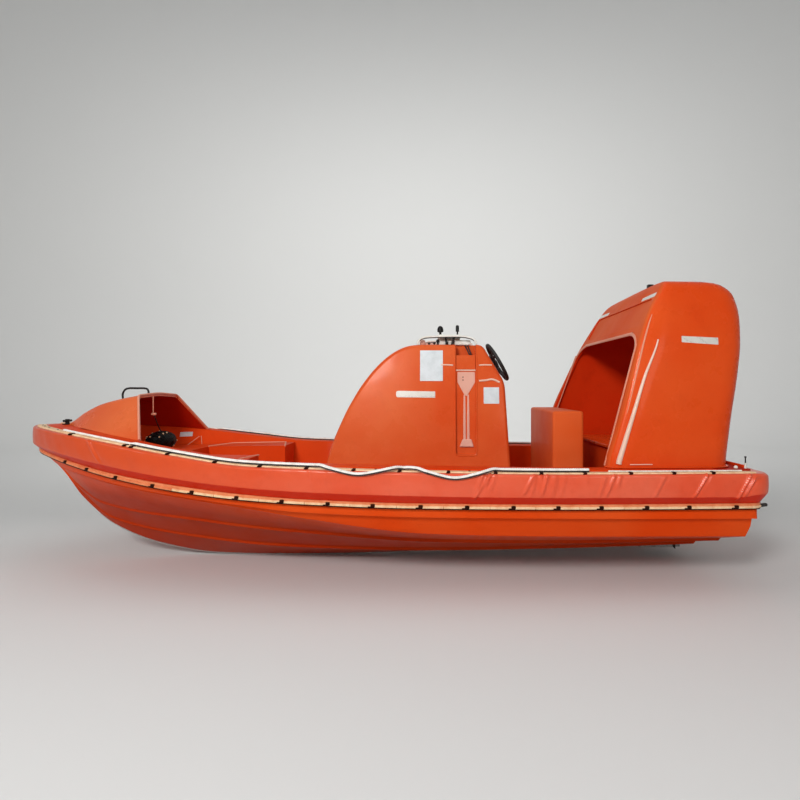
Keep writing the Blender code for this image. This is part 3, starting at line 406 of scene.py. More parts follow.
def piece(name, points, faces, finish, body="boat", uv=None, sharp=35.0, closed=True, replaces=()):
    """One object from arrays of points and faces, riding on a body, with outward faces."""
    mesh = bpy.data.meshes.new(name)
    mesh.from_pydata(np.asarray(points, float).reshape(-1, 3).tolist(), [], faces)
    if uv is not None:
        corner = np.empty(len(mesh.loops), np.int32)
        mesh.loops.foreach_get("vertex_index", corner)
        layer = mesh.uv_layers.new(name="UVMap")
        layer.data.foreach_set("uv", np.asarray(uv, np.float32).reshape(-1, 2)[corner].ravel())
    if closed:
        outward(mesh)
    mesh.shade_smooth()
    mesh.set_sharp_from_angle(angle=math.radians(sharp))
    obj = bpy.data.objects.new(name, mesh)
    bpy.context.scene.collection.objects.link(obj)
    mesh.materials.append(finish)
    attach(obj, body)
    if replaces:
        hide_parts(*replaces)
    return obj


def outward(mesh):
    bm = bmesh.new()
    bm.from_mesh(mesh)
    bmesh.ops.recalc_face_normals(bm, faces=bm.faces)
    bm.to_mesh(mesh)
    bm.free()


def grid_faces(rows, columns, wrap=False, start=0):
    index = start + np.arange(rows * columns).reshape(rows, columns)
    if wrap:
        index = np.concatenate([index, index[:, :1]], axis=1)
    quads = np.stack([index[:-1, :-1], index[:-1, 1:], index[1:, 1:], index[1:, :-1]], axis=-1)
    return quads.reshape(-1, 4).tolist()


def loft(name, rings, finish, **options):
    """Closed rings joined row to row, with a flat face over each end."""
    rows, columns = rings.shape[:2]
    faces = grid_faces(rows, columns, wrap=True)
    faces.append(list(range(columns)))
    faces.append(list(range((rows - 1) * columns, rows * columns)))
    return piece(name, rings, faces, finish, **options)


def shell(name, outer, inner, finish, **options):
    """Two sheets on the same grid, joined round their four edges."""
    rows, columns = outer.shape[:2]
    shift = rows * columns
    faces = grid_faces(rows, columns) + [quad[::-1] for quad in grid_faces(rows, columns, start=shift)]
    index = np.arange(shift).reshape(rows, columns)
    edge = np.concatenate([index[0], index[1:, -1], index[-1, -2::-1], index[-2:0:-1, 0]])
    ahead = np.roll(edge, -1)
    faces += np.stack([ahead, edge, edge + shift, ahead + shift], axis=-1).tolist()
    points = np.concatenate([outer.reshape(-1, 3), inner.reshape(-1, 3)])
    uv = options.pop("uv", None)
    if uv is not None:
        uv = np.concatenate([uv.reshape(-1, 2), uv.reshape(-1, 2)])
    return piece(name, points, faces, finish, uv=uv, **options)


def tube_rings(path, radius, sides=12, section=None):
    """A profile carried along a path without twist, scaled by the radius at each point."""
    path = np.asarray(path, float)
    along = unit(np.gradient(path, axis=0))
    up = np.zeros_like(path)
    start = np.array([0.0, 0.0, 1.0]) if abs(along[0][2]) < 0.9 else np.array([1.0, 0.0, 0.0])
    for i, tangent in enumerate(along):
        start = start - tangent * start.dot(tangent)
        start = start / np.linalg.norm(start)
        up[i] = start
    side = np.cross(along, up)
    if section is None:
        turn = np.linspace(0, 2 * math.pi, sides, endpoint=False)
        section = np.stack([np.cos(turn), np.sin(turn)], axis=1)
    radius = np.broadcast_to(np.asarray(radius, float), len(path))[:, None, None]
    spread_out = section[None, :, :1] * side[:, None] + section[None, :, 1:] * up[:, None]
    return path[:, None, :] + radius * spread_out


def tube(name, path, radius, finish, sides=12, section=None, **options):
    return loft(name, tube_rings(path, radius, sides, section), finish, **options)


def turned(name, profile, finish, centre=(0, 0, 0), turn=None, sides=40, **options):
    """A profile of (radius, height) rows turned round an axis, closed at both ends."""
    profile = np.asarray(profile, float)
    angle = np.linspace(0, 2 * math.pi, sides, endpoint=False)
    rings = np.stack([
        profile[:, :1] * np.cos(angle),
        profile[:, :1] * np.sin(angle),
        np.repeat(profile[:, 1:], sides, axis=1),
    ], axis=-1)
    if turn is not None:
        rings = rings @ np.array(turn).T
    return loft(name, rings + np.asarray(centre, float), finish, **options)


def block_rings(low, high, radius, steps=4):
    """A box with rounded edges as rings up its height: rounded rectangles that shrink over both end edges."""
    low, high = np.asarray(low, float), np.asarray(high, float)
    turn = np.linspace(0, math.pi / 2, steps + 1)
    inset = np.concatenate([radius * (1 - np.sin(turn)), radius * (1 - np.cos(turn))])
    level = np.concatenate([low[2] + radius * (1 - np.cos(turn)), high[2] - radius * (1 - np.sin(turn))])
    corners = np.array([[low[0], low[1]], [high[0], low[1]], [high[0], high[1]], [low[0], high[1]]])
    ways = np.array([[1, 1], [-1, 1], [-1, -1], [1, -1]])
    plan = corners[None] + ways[None] * inset[:, None, None]
    plan = rounded(plan, radius * 1.1, steps)
    return np.concatenate([plan, np.broadcast_to(level[:, None, None], (*plan.shape[:2], 1))], axis=-1)


def block(name, low, high, radius, finish, **options):
    return loft(name, block_rings(low, high, radius), finish, **options)


def joined(name, parts, finish, **options):
    """Many closed lofts as one mesh."""
    points, faces, start = [], [], 0
    for rings in parts:
        rows, columns = rings.shape[:2]
        faces += grid_faces(rows, columns, wrap=True, start=start)
        faces.append(list(range(start, start + columns)))
        faces.append(list(range(start + (rows - 1) * columns, start + rows * columns)))
        points.append(rings.reshape(-1, 3))
        start += rows * columns
    return piece(name, np.concatenate(points), faces, finish, **options)


def carve(obj, name, rings, operation="DIFFERENCE"):
    """Cuts a closed loft out of a piece, or adds it, and keeps the result in the mesh."""
    rows, columns = rings.shape[:2]
    faces = grid_faces(rows, columns, wrap=True)
    faces.append(list(range(columns)))
    faces.append(list(range((rows - 1) * columns, rows * columns)))
    mesh = bpy.data.meshes.new(name)
    mesh.from_pydata(rings.reshape(-1, 3).tolist(), [], faces)
    outward(mesh)
    cutter = bpy.data.objects.new(name, mesh)
    bpy.context.scene.collection.objects.link(cutter)
    boolean = obj.modifiers.new(name, "BOOLEAN")
    boolean.operation = operation
    boolean.object = cutter
    bpy.context.view_layer.update()
    shown = obj.evaluated_get(bpy.context.evaluated_depsgraph_get())
    result = bpy.data.meshes.new_from_object(shown)
    obj.modifiers.clear()
    finish = obj.data.materials[0]
    obj.data = result
    result.materials.clear()
    result.materials.append(finish)
    bpy.data.objects.remove(cutter, do_unlink=True)
    result.shade_smooth()
    result.set_sharp_from_angle(angle=math.radians(30))
    return obj


def refinish(obj, finish, chosen):
    """Gives another finish to the faces that `chosen` picks from their centres and normals."""
    mesh = obj.data
    count = len(mesh.polygons)
    centres, normals, index = np.empty(count * 3), np.empty(count * 3), np.empty(count, np.int32)
    mesh.polygons.foreach_get("center", centres)
    mesh.polygons.foreach_get("normal", normals)
    mesh.polygons.foreach_get("material_index", index)
    mesh.materials.append(finish)
    picked = chosen(centres.reshape(-1, 3), normals.reshape(-1, 3))
    index[picked] = len(mesh.materials) - 1
    mesh.polygons.foreach_set("material_index", index)


def box_rings(low, high):
    (x0, y0, z0), (x1, y1, z1) = low, high
    ring = [(y0, z0), (y1, z0), (y1, z1), (y0, z1)]
    return np.array([[(x, y, z) for y, z in ring] for x in (x0, x1)], float)


# Materials

MIX_FACTOR = 0
MIX_A = 6
MIX_B = 7
MIX_RESULT = 2


def colour(hex_text):
    """sRGB hex to the linear values that a shader takes."""
    values = np.array([int(hex_text[i:i + 2], 16) / 255 for i in (0, 2, 4)])
    linear = np.where(values <= 0.04045, values / 12.92, ((values + 0.055) / 1.055) ** 2.4)
    return (*linear.tolist(), 1.0)


def add(tree, kind, inputs=(), **settings):
    """A node with its settings; each input is a plain value or another node's output."""
    made = tree.nodes.new(kind)
    for key, value in settings.items():
        setattr(made, key, value)
    for key, value in dict(inputs).items():
        if isinstance(value, bpy.types.NodeSocket):
            tree.links.new(value, made.inputs[key])
        else:
            made.inputs[key].default_value = value
    return made


def per_mm(size):
    """Scale of a texture whose grain is this many millimetres across."""
    return 1000.0 / size


def new_finish(name, slot, **sockets):
    """A material, its node tree, its Principled shader and object coordinates in metres."""
    made = bpy.data.materials.new(name)
    made.use_nodes = True
    tree = made.node_tree
    shader = tree.nodes["Principled BSDF"]
    for key, value in sockets.items():
        shader.inputs[key.replace("_", " ")].default_value = value
    place = add(tree, "ShaderNodeTexCoord")
    return made, tree, shader, place


def blotches(tree, place, size, low, high, detail=3.0, rough=0.55):
    """Cloudy noise with grains of that size in mm, from 0 to 1 between two of its own levels."""
    noise = add(tree, "ShaderNodeTexNoise", {"Vector": place, "Scale": per_mm(size), "Detail": detail,
                                             "Roughness": rough})
    spread = add(tree, "ShaderNodeMapRange",
                 {"Value": noise.outputs["Fac"], "From Min": low, "From Max": high})
    return spread.outputs["Result"]


def mixed(tree, factor, first, second, blend="MIX"):
    made = add(tree, "ShaderNodeMix", {MIX_FACTOR: factor, MIX_A: first, MIX_B: second},
               data_type="RGBA", blend_type=blend)
    return made.outputs[MIX_RESULT]


def spread(tree, factor, low, high):
    made = add(tree, "ShaderNodeMapRange", {"Value": factor, "To Min": low, "To Max": high})
    return made.outputs["Result"]


def gelcoat(name, slot, main, faded, deep, rough, ripple_mm, gloss=0.26, shade_below_chine=None):
    """Pigmented polyester gelcoat out of a mould: a glossy skin that shows a faint ripple of the glass
    under it, has faded in clouds, and has gone dull where it was rubbed. Given a shade colour, it is
    darkened below the chine, in streaks along the boat, towards that colour: painted shade."""
    made, tree, shader, place = new_finish(name, slot, IOR=1.45, Specular_IOR_Level=gloss,
                                           Coat_Weight=gloss / 4, Coat_Roughness=0.08,
                                           Specular_Tint=colour("FFC8A8"))
    at = place.outputs["Object"]
    clouds = blotches(tree, at, 900, 0.35, 0.7)
    stains = blotches(tree, at, 140, 0.55, 0.8, 6.0, 0.65)
    specks = blotches(tree, at, 14, 0.62, 0.72, 2.0)
    base = mixed(tree, clouds, colour(main), colour(faded))
    base = mixed(tree, spread(tree, stains, 0.0, 0.25), base, colour(deep))
    base = mixed(tree, spread(tree, specks, 0.0, 0.08), base, colour("7A2A14"))
    # Darkening below the chine towards the shade colour: painted shade.
    if shade_below_chine:
        height = add(tree, "ShaderNodeSeparateXYZ", {"Vector": at})
        stretched = add(tree, "ShaderNodeMapping", {"Vector": at, "Scale": (0.15, 1.0, 1.0)})
        streaks = blotches(tree, stretched.outputs["Vector"], 90, 0.3, 0.7, 4.0)
        rise = add(tree, "ShaderNodeMapRange",
                   {"Value": height.outputs["X"], "From Min": -0.8, "From Max": 1.9, "To Max": 0.33})
        below = add(tree, "ShaderNodeMath", {0: height.outputs["Z"], 1: rise.outputs["Result"]},
                    operation="SUBTRACT")
        line = add(tree, "ShaderNodeMath",
                   {0: below.outputs["Value"], 1: spread(tree, streaks, -0.015, 0.015)}, operation="ADD")
        depth = add(tree, "ShaderNodeMapRange", {"Value": line.outputs["Value"], "From Min": -0.03,
                                                 "From Max": -0.17, "To Max": 0.55})
        base = mixed(tree, depth.outputs["Result"], base, colour(shade_below_chine))
    tree.links.new(base, shader.inputs["Base Color"])
    dull = blotches(tree, at, 260, 0.4, 0.75, 5.0)
    tree.links.new(spread(tree, dull, rough, rough + 0.12), shader.inputs["Roughness"])
    ripple = add(tree, "ShaderNodeTexNoise", {"Vector": at, "Scale": per_mm(ripple_mm), "Detail": 1.0})
    peel = add(tree, "ShaderNodeTexNoise", {"Vector": at, "Scale": per_mm(5), "Detail": 2.0})
    wave = add(tree, "ShaderNodeBump", {"Height": ripple.outputs["Fac"], "Strength": 0.16, "Distance": 0.003})
    skin = add(tree, "ShaderNodeBump", {"Height": peel.outputs["Fac"], "Strength": 0.10, "Distance": 0.0005,
                                        "Normal": wave.outputs["Normal"]})
    tree.links.new(skin.outputs["Normal"], shader.inputs["Normal"])
    return made


def coated_fabric(name, slot):
    """PVC-coated polyester over foam: a half-matt plastic skin with the weave printed through it, bleached
    by the sun in clouds, and painted deeper red and less glossy where it faces down, as painted shade.
    Threads 1.5 mm apart would not show, so they are 5 mm apart."""
    made, tree, shader, place = new_finish(name, slot, IOR=1.45, Specular_IOR_Level=0.30, Coat_Weight=0.5,
                                           Coat_Roughness=0.24, Specular_Tint=colour("FFC8A8"))
    at = place.outputs["Object"]
    uv = place.outputs["UV"]
    sun = blotches(tree, at, 500, 0.35, 0.7)
    base = mixed(tree, sun, colour("E04E2C"), colour("E46244"))
    spot = add(tree, "ShaderNodeSeparateXYZ", {"Vector": at})
    forward = add(tree, "ShaderNodeMapRange", {"Value": spot.outputs["X"], "From Min": -0.2, "From Max": 1.8})
    base = mixed(tree, forward.outputs["Result"], base, colour("D24A1C"))
    grime = blotches(tree, at, 90, 0.5, 0.85, 6.0, 0.7)
    base = mixed(tree, spread(tree, grime, 0.0, 0.30), base, colour("B8381A"))
    # Faces that point down are painted deeper red, with less coat and specular: painted shade.
    facing = add(tree, "ShaderNodeSeparateXYZ", {"Vector": place.outputs["Normal"]})
    under = add(tree, "ShaderNodeMapRange",
                {"Value": facing.outputs["Z"], "From Min": -0.25, "From Max": -0.6, "To Max": 0.8})
    base = mixed(tree, under.outputs["Result"], base, colour("CC1E08"))
    tree.links.new(base, shader.inputs["Base Color"])
    tree.links.new(spread(tree, under.outputs["Result"], 0.5, 0.0), shader.inputs["Coat Weight"])
    tree.links.new(spread(tree, under.outputs["Result"], 0.3, 0.0), shader.inputs["Specular IOR Level"])
    rub = blotches(tree, at, 180, 0.4, 0.75, 4.0)
    tree.links.new(spread(tree, rub, 0.32, 0.46), shader.inputs["Roughness"])
    heights = []
    for direction in ("X", "Y"):
        threads = add(tree, "ShaderNodeTexWave", {"Vector": uv, "Scale": per_mm(5) / 20, "Distortion": 0.6,
                                                  "Detail": 1.0}, bands_direction=direction)
        heights.append(threads.outputs["Fac"])
    weave = add(tree, "ShaderNodeMath", {0: heights[0], 1: heights[1]}, operation="MULTIPLY")
    crumple = add(tree, "ShaderNodeTexNoise", {"Vector": at, "Scale": per_mm(60), "Detail": 3.0})
    soft = add(tree, "ShaderNodeBump",
               {"Height": crumple.outputs["Fac"], "Strength": 0.30, "Distance": 0.003})
    cloth = add(tree, "ShaderNodeBump",
                {"Height": weave.outputs["Value"], "Strength": 0.15, "Distance": 0.0005,
                 "Normal": soft.outputs["Normal"]})
    tree.links.new(cloth.outputs["Normal"], shader.inputs["Normal"])
    return made


def plain_finish(name, slot, main, worn, grain_mm, rough, bump_mm, **sockets):
    """One body colour with clouds of a second one, uneven gloss and a fine grain."""
    made, tree, shader, place = new_finish(name, slot, **sockets)
    at = place.outputs["Object"]
    clouds = blotches(tree, at, grain_mm * 12, 0.4, 0.7, 5.0, 0.6)
    tree.links.new(mixed(tree, clouds, colour(main), colour(worn)), shader.inputs["Base Color"])
    gloss = blotches(tree, at, grain_mm * 5, 0.35, 0.75, 4.0)
    tree.links.new(spread(tree, gloss, rough[0], rough[1]), shader.inputs["Roughness"])
    grain = add(tree, "ShaderNodeTexNoise", {"Vector": at, "Scale": per_mm(grain_mm), "Detail": 4.0})
    relief = add(tree, "ShaderNodeBump", {"Height": grain.outputs["Fac"], "Strength": 0.5,
                                          "Distance": bump_mm / 1000})
    tree.links.new(relief.outputs["Normal"], shader.inputs["Normal"])
    return made


def reflective_tape(name, slot):
    """Retro-reflective tape: silver-white film over small sealed cells, whose walls show as a net of
    3 mm hexagons, drawn at 9 mm so that it shows."""
    made, tree, shader, place = new_finish(name, slot, Metallic=0.15, IOR=1.5, Coat_Weight=0.4,
                                           Coat_Roughness=0.2)
    at = place.outputs["Object"]
    cells = add(tree, "ShaderNodeTexVoronoi", {"Vector": at, "Scale": per_mm(9), "Randomness": 0.25},
                feature="DISTANCE_TO_EDGE")
    walls = add(tree, "ShaderNodeMapRange", {"Value": cells.outputs["Distance"], "From Min": 0.0,
                                             "From Max": 0.09})
    base = mixed(tree, walls.outputs["Result"], colour("BDBAB2"), colour("DDD9D0"))
    grime = blotches(tree, at, 70, 0.55, 0.85, 5.0)
    base = mixed(tree, spread(tree, grime, 0.0, 0.35), base, colour("B9A58E"))
    tree.links.new(base, shader.inputs["Base Color"])
    tree.links.new(spread(tree, grime, 0.28, 0.5), shader.inputs["Roughness"])
    relief = add(tree, "ShaderNodeBump",
                 {"Height": walls.outputs["Result"], "Strength": 0.3, "Distance": 0.0004})
    tree.links.new(relief.outputs["Normal"], shader.inputs["Normal"])
    return made


def brushed_steel(name, slot):
    """Stainless steel, brushed along the boat: fine scratches that stretch the highlights."""
    made, tree, shader, place = new_finish(name, slot, Metallic=1.0)
    stretch = add(tree, "ShaderNodeMapping", {"Vector": place.outputs["Object"], "Scale": (0.04, 1.0, 1.0)})
    scratches = add(tree, "ShaderNodeTexNoise", {"Vector": stretch.outputs["Vector"], "Scale": per_mm(1.2),
                                                 "Detail": 3.0})
    base = mixed(tree, scratches.outputs["Fac"], colour("A9AAA8"), colour("CFCFCC"))
    tree.links.new(base, shader.inputs["Base Color"])
    tree.links.new(spread(tree, scratches.outputs["Fac"], 0.18, 0.42), shader.inputs["Roughness"])
    relief = add(tree, "ShaderNodeBump", {"Height": scratches.outputs["Fac"], "Strength": 0.2,
                                          "Distance": 0.0002})
    tree.links.new(relief.outputs["Normal"], shader.inputs["Normal"])
    return made


def rope_with_painted_shadow(name, slot):
    """Braided white polyester rope painted black along its underside as painted shadow: its height on the
    section is the UV's Y.
    """
    made, tree, shader, place = new_finish(name, slot, Sheen_Weight=0.3)
    height = add(tree, "ShaderNodeSeparateXYZ", {"Vector": place.outputs["UV"]})
    # Below this height on the section the rope is black: painted shadow.
    side = add(tree, "ShaderNodeMapRange", {"Value": height.outputs["Y"], "From Min": 0.45, "From Max": 0.48})
    grime = blotches(tree, place.outputs["Object"], 40, 0.45, 0.75, 5.0)
    pale = mixed(tree, grime, colour("F2EFEA"), colour("D9CDBF"))
    base = mixed(tree, side.outputs["Result"], colour("120F0E"), pale)
    tree.links.new(base, shader.inputs["Base Color"])
    tree.links.new(spread(tree, grime, 0.55, 0.8), shader.inputs["Roughness"])
    fibre = add(tree, "ShaderNodeTexNoise",
                {"Vector": place.outputs["Object"], "Scale": per_mm(2), "Detail": 3.0})
    relief = add(tree, "ShaderNodeBump",
                 {"Height": fibre.outputs["Fac"], "Strength": 0.4, "Distance": 0.0003})
    tree.links.new(relief.outputs["Normal"], shader.inputs["Normal"])
    return made


orange_gelcoat = gelcoat("orange gelcoat", "orange_gelcoat", "DA420E", "DE521E", "C03208", 0.24, 90)
# The hull's gelcoat is painted darker below the chine: painted shade.
hull_gelcoat = gelcoat("orange gelcoat darkened below the chine as painted shade", "orange_gelcoat", "E0440C", "E4541E", "C43408", 0.34, 110,
                       gloss=0.07, shade_below_chine="7C0E02")
orange_inside = gelcoat("orange gelcoat inside", "orange_liner", "D8380A", "DE4A1A", "AE2A08", 0.45, 60,
                        gloss=0.04)
collar_cover = coated_fabric("PVC-coated fabric", "orange_cover")
cream_vinyl = plain_finish("cream PVC strip", "pale_strip", "F4D2A6", "E4AC7C", 4, (0.40, 0.62), 0.3)
pink_vinyl = plain_finish("orange PVC strip", "pale_strip", "E68C5C", "D8703E", 4, (0.40, 0.62), 0.3)
shadow_painted_rope = rope_with_painted_shadow("white polyester rope with painted shadow underneath", "white_rope")
white_rope = plain_finish("braided polyester rope", "white_rope", "EFECE6", "CFC7B8", 2, (0.62, 0.85), 0.3,
                          Sheen_Weight=0.3)
white_gelcoat = plain_finish("white gelcoat", "white_gelcoat", "E9E7DF", "DDD8CB", 8, (0.24, 0.42), 0.05,
                             Coat_Weight=0.4, Coat_Roughness=0.1)
# A pale gelcoat for thin pieces along edges: painted bright highlight.
bright_highlight_gelcoat = gelcoat("orange gelcoat with a painted bright highlight", "orange_gelcoat", "E6C2AC", "EED4C4", "D29C82", 0.30, 40,
                          gloss=0.5)
# A softer pale gelcoat for beads and edges: painted highlight.
soft_highlight_gelcoat = gelcoat("orange gelcoat with a painted soft highlight", "orange_gelcoat", "D8866A", "E09A80", "C06A4C", 0.40, 40,
                       gloss=0.2)
faded_gelcoat = gelcoat("faded orange gelcoat", "orange_gelcoat", "D44C1C", "DC6836", "BC3A10", 0.24, 90)
satin_gelcoat = gelcoat("satin orange gelcoat", "orange_gelcoat", "D4501E", "DA6434", "B8380E", 0.45, 60,
                        gloss=0.04)
# A deeper copy of the orange gelcoat for the inside of the hood: painted shade.
hood_shade_gelcoat = gelcoat("orange gelcoat darkened inside the hood as painted shade", "orange_gelcoat", "DA300C", "DE3C14", "A01A08", 0.45, 60,
                        gloss=0.03)
# A darker copy of the orange gelcoat for the aft deck and the inside of the cuddy: painted shade.
painted_shade_gelcoat = gelcoat("orange gelcoat darkened as painted shade", "orange_gelcoat", "A81A06", "B4240A", "781004", 0.45, 60,
                         gloss=0.02)
# A pale orange gelcoat; on the ducts in the console's channel it is a painted reflection.
orange_pale = gelcoat("light orange gelcoat", "orange_gelcoat", "DEA692", "E6B8A8", "CC8A74", 0.40, 50,
                      gloss=0.1)
paper_label = plain_finish("laminated label", "white_gelcoat", "D8DFE2", "C8D0D2", 6, (0.30, 0.45), 0.05)
tape = reflective_tape("retro-reflective tape", "white_gelcoat")
black_nylon = plain_finish("black nylon", "black_plastic", "0E0D0D", "1C1816", 3, (0.38, 0.6), 0.2,
                           Specular_IOR_Level=0.25)
brown_nylon = plain_finish("weathered nylon", "black_plastic", "1C0A06", "34140C", 3, (0.45, 0.65), 0.2,
                           Specular_IOR_Level=0.15, Specular_Tint=colour("E0A080"))
black_rubber = plain_finish("EPDM rubber", "black_rubber", "161515", "2B2725", 3, (0.5, 0.75), 0.3)
black_net = plain_finish("polyethylene net twine", "black_net", "0A0A0A", "141413", 2, (0.45, 0.7), 0.3,
                         Specular_IOR_Level=0.15)
steel = brushed_steel("brushed stainless steel", "stainless_steel")
cast_metal = plain_finish("cast aluminium", "cast_aluminium", "9B9C9A", "7E7F7C", 2.5, (0.38, 0.6), 0.3,
                          Metallic=1.0)
grey_enamel = plain_finish("grey enamel", "engine_paint", "4A5252", "383E3E", 5, (0.35, 0.55), 0.1)


# Camera, floor and light

def build_camera():
    data = bpy.data.cameras.new("camera")
    data.lens = CAMERA_LENS
    data.sensor_width = 36.0
    data.shift_x, data.shift_y = CAMERA_SHIFT
    camera = bpy.data.objects.new("camera", data)
    camera.location = CAMERA_PLACE
    camera.rotation_euler = (math.radians(90), 0.0, math.radians(180))
    bpy.context.scene.collection.objects.link(camera)
    bpy.context.scene.camera = camera


def build_floor():
    """A flat disc that turns up into a wall far away: radius and height by a quarter circle between them."""
    flat, bend, wall_top = 13.0, 6.0, 26.0
    turn = np.linspace(0, math.pi / 2, 16)
    radius = np.concatenate([[0.001, 4, 8], flat + bend * np.sin(turn), [flat + bend]])
    height = np.concatenate([[0, 0, 0], bend * (1 - np.cos(turn)), [wall_top]]) + FLOOR_LEVEL
    angle = np.linspace(0, 2 * math.pi, 96, endpoint=False)
    grid = np.stack([radius[:, None] * np.cos(angle), radius[:, None] * np.sin(angle),
                     np.repeat(height[:, None], len(angle), axis=1)], axis=-1)
    mesh = bpy.data.meshes.new("studio_floor")
    mesh.from_pydata(grid.reshape(-1, 3).tolist(), [], grid_faces(len(radius), len(angle), wrap=True))
    mesh.shade_smooth()
    floor = bpy.data.objects.new("studio_floor", mesh)
    bpy.context.scene.collection.objects.link(floor)
    made = bpy.data.materials.new("matt white paint")
    made.use_nodes = True
    shader = made.node_tree.nodes["Principled BSDF"]
    shader.inputs["Base Color"].default_value = colour("DADAD8")
    shader.inputs["Roughness"].default_value = 0.9
    mesh.materials.append(made)


# Lamps: name, place, size, power, aim
LAMPS = (
    ("sky_panel", (0.0, 0.5, 6.5), 6.0, 60.0, (0.0, 0.0, 0.0)),
    ("key_panel", (2.2, 8.9, 5.0), 2.2, 560.0, (-0.4, 0.0, 0.4)),
    ("bow_panel", (6.8, 3.6, 2.6), 0.9, 35.0, (-0.8, 0.0, 0.9)),
    ("fill_panel", (-4.5, 9.0, 3.2), 3.0, 90.0, (-0.5, 0.0, 0.4)),
    ("wall_panel", (0.0, -6.0, 9.0), 6.0, 1100.0, (0.0, -19.0, 3.0)),
)


def build_lights():
    for name, place, size, power, aim in LAMPS:
        data = bpy.data.lights.new(name, "AREA")
        data.shape = "DISK"
        data.size = size
        data.energy = power
        lamp = bpy.data.objects.new(name, data)
        lamp.location = place
        lamp.rotation_euler = (Vector(aim) - Vector(place)).to_track_quat("-Z", "Y").to_euler()
        bpy.context.scene.collection.objects.link(lamp)
    world = bpy.data.worlds.new("studio")
    world.use_nodes = True
    sky = world.node_tree.nodes["Background"]
    sky.inputs["Color"].default_value = colour("F2F4F8")
    sky.inputs["Strength"].default_value = 0.42
    bpy.context.scene.world = world
    bpy.context.scene.view_settings.view_transform = "Standard"


# Ropes

def rope_route(table, count, sign):
    """Points of a rope whose table gives x, distance out from the hull side, height over the fender top."""
    rows = curve_through(table, 6)
    xs = np.linspace(table[0][0], table[-1][0], count)
    back = np.argsort(rows[:, 0])
    out = np.interp(xs, rows[back, 0], rows[back, 1])
    rise = np.interp(xs, rows[back, 0], rows[back, 2])
    wall, normals = side_line(4)
    order = np.argsort(wall[:, 0])
    tops = smooth_rows(SIDE_HEIGHTS, wall[:, 0])[:, 3]
    wall_y, normal_x, normal_y, top_z = (
        np.interp(xs, wall[order, 0], column[order])
        for column in (wall[:, 1], normals[:, 0], normals[:, 1], tops)
    )
    return np.stack([xs + normal_x * out, sign * (wall_y + normal_y * out), top_z + rise], axis=1)


def rope_rings(path, radius, pitch, strands=3, sides=18):
    """Twisted strands: the radius swells over each strand, and the strands turn once each pitch."""
    length = np.arange(len(path)) * np.linalg.norm(path[1] - path[0])
    turn = np.linspace(0, 2 * math.pi, sides, endpoint=False)
    wave = np.abs(np.cos(strands / 2 * (turn[None, :] - 2 * math.pi * length[:, None] / pitch)))
    swell = radius[:, None] * (0.84 + 0.16 * wave)
    rings = tube_rings(path, 1.0, sides)
    return path[:, None] + (rings - path[:, None]) * swell[..., None]


# Ropes: name, route, points along it, radius, length of one turn of the strands, finish
ROPES = (
    ("lifeline", LIFELINE, ROPE_POINTS, ROPE_RADIUS, 0.05, shadow_painted_rope),
    ("aft_line", AFT_LINE, AFT_LINE_POINTS, AFT_LINE_RADIUS, 0.04, white_rope),
)


def build_ropes():
    """The lifeline follows the upper strip and drops over the collar in two bights. Beside the cuddy it is
    thinner. The aft line carries on behind it."""
    for name, table, count, radius, pitch, finish in ROPES:
        for sign, side in ((1, "port"), (-1, "starboard")):
            path = evenly(curve_through(rope_route(table, count, sign), 6), pitch / 12)
            radii = np.full(len(path), radius)
            if name == "lifeline":
                radii += (FORE_ROPE_RADIUS - radius) * smooth_step(path[:, 0], *ROPE_TAPER)
                path[:, 2] += radii - SOLID_ROPE_RADIUS
            rings = rope_rings(path, radii, pitch)
            height = 0.5 + (rings[..., 2] - path[:, None, 2]) / (2 * radii[:, None])
            # No painted shadow on the lifeline ahead of the cuddy.
            height[path[:, 0] > CUDDY[0][0] - 0.03] = 1.0
            uv = np.stack([np.broadcast_to(path[:, :1], height.shape), height], axis=-1)
            rope = loft(f"{name}_rope_{side}", rings, finish, sharp=80, uv=uv,
                        replaces=(f"{name}_{side}",))


# Hull

def hull_corners(line, normals):
    """Half sections at points of the hull side, keel to deck edge, as 15 corners each."""
    x = line[:, 0]
    wall_y = line[:, 1]
    keel_z, low_y, low_z, up_y, up_z, chine_y, chine_z, band_y, band_z = smooth_rows(HULL_LINES, x).T
    ledge_z, _, _, _, deck_z = smooth_rows(SIDE_HEIGHTS, x).T
    x_low = np.maximum(x, TRANSOM_X)
    x_band = x - 0.018 * smooth_step(-x, 2.86, 2.889)
    step = 0.016
    flat = np.minimum(0.030, low_y * 0.2)
    reach = LEDGE_DEPTH - GAP
    ledge_x = x + normals[:, 0] * reach
    ledge_y = wall_y + normals[:, 1] * reach
    ledge_x[-1] = x[-1]
    ledge_y[-1] = wall_y[-1] + 0.02
    columns = [
        (x_low, np.full_like(x, 0.028), keel_z),
        (x_low, low_y - flat, low_z - step / 2 - 0.002),
        (x_low, low_y, low_z - step / 2),
        (x_low, low_y + 0.004, low_z + step),
        (x_low, up_y - flat, up_z - step / 2 - 0.002),
        (x_low, up_y, up_z - step / 2),
        (x_low, up_y + 0.004, up_z + step),
        (x_low, chine_y - 0.03, chine_z - 0.004),
        (x_low, chine_y, chine_z + 0.004),
        (x_low, band_y - 0.040, band_z - 0.001),
        (x_band, band_y, band_z + 0.001),
        (ledge_x, ledge_y - 0.006, ledge_z - 0.012),
        (ledge_x, ledge_y - 0.012, ledge_z),
        (x, wall_y, ledge_z),
        (x, wall_y, deck_z - SKIN - GAP),
    ]
    return np.stack([np.stack(column, axis=1) for column in columns], axis=1)


# Radii of the hull section's corners, keel to deck edge
HULL_ROUNDING = (0.014, 0.004, 0.003, 0.006, 0.004, 0.003, 0.006, 0.008, 0.006, 0.004, 0.004, 0.006, 0.003,
                 0.002, 0.002)


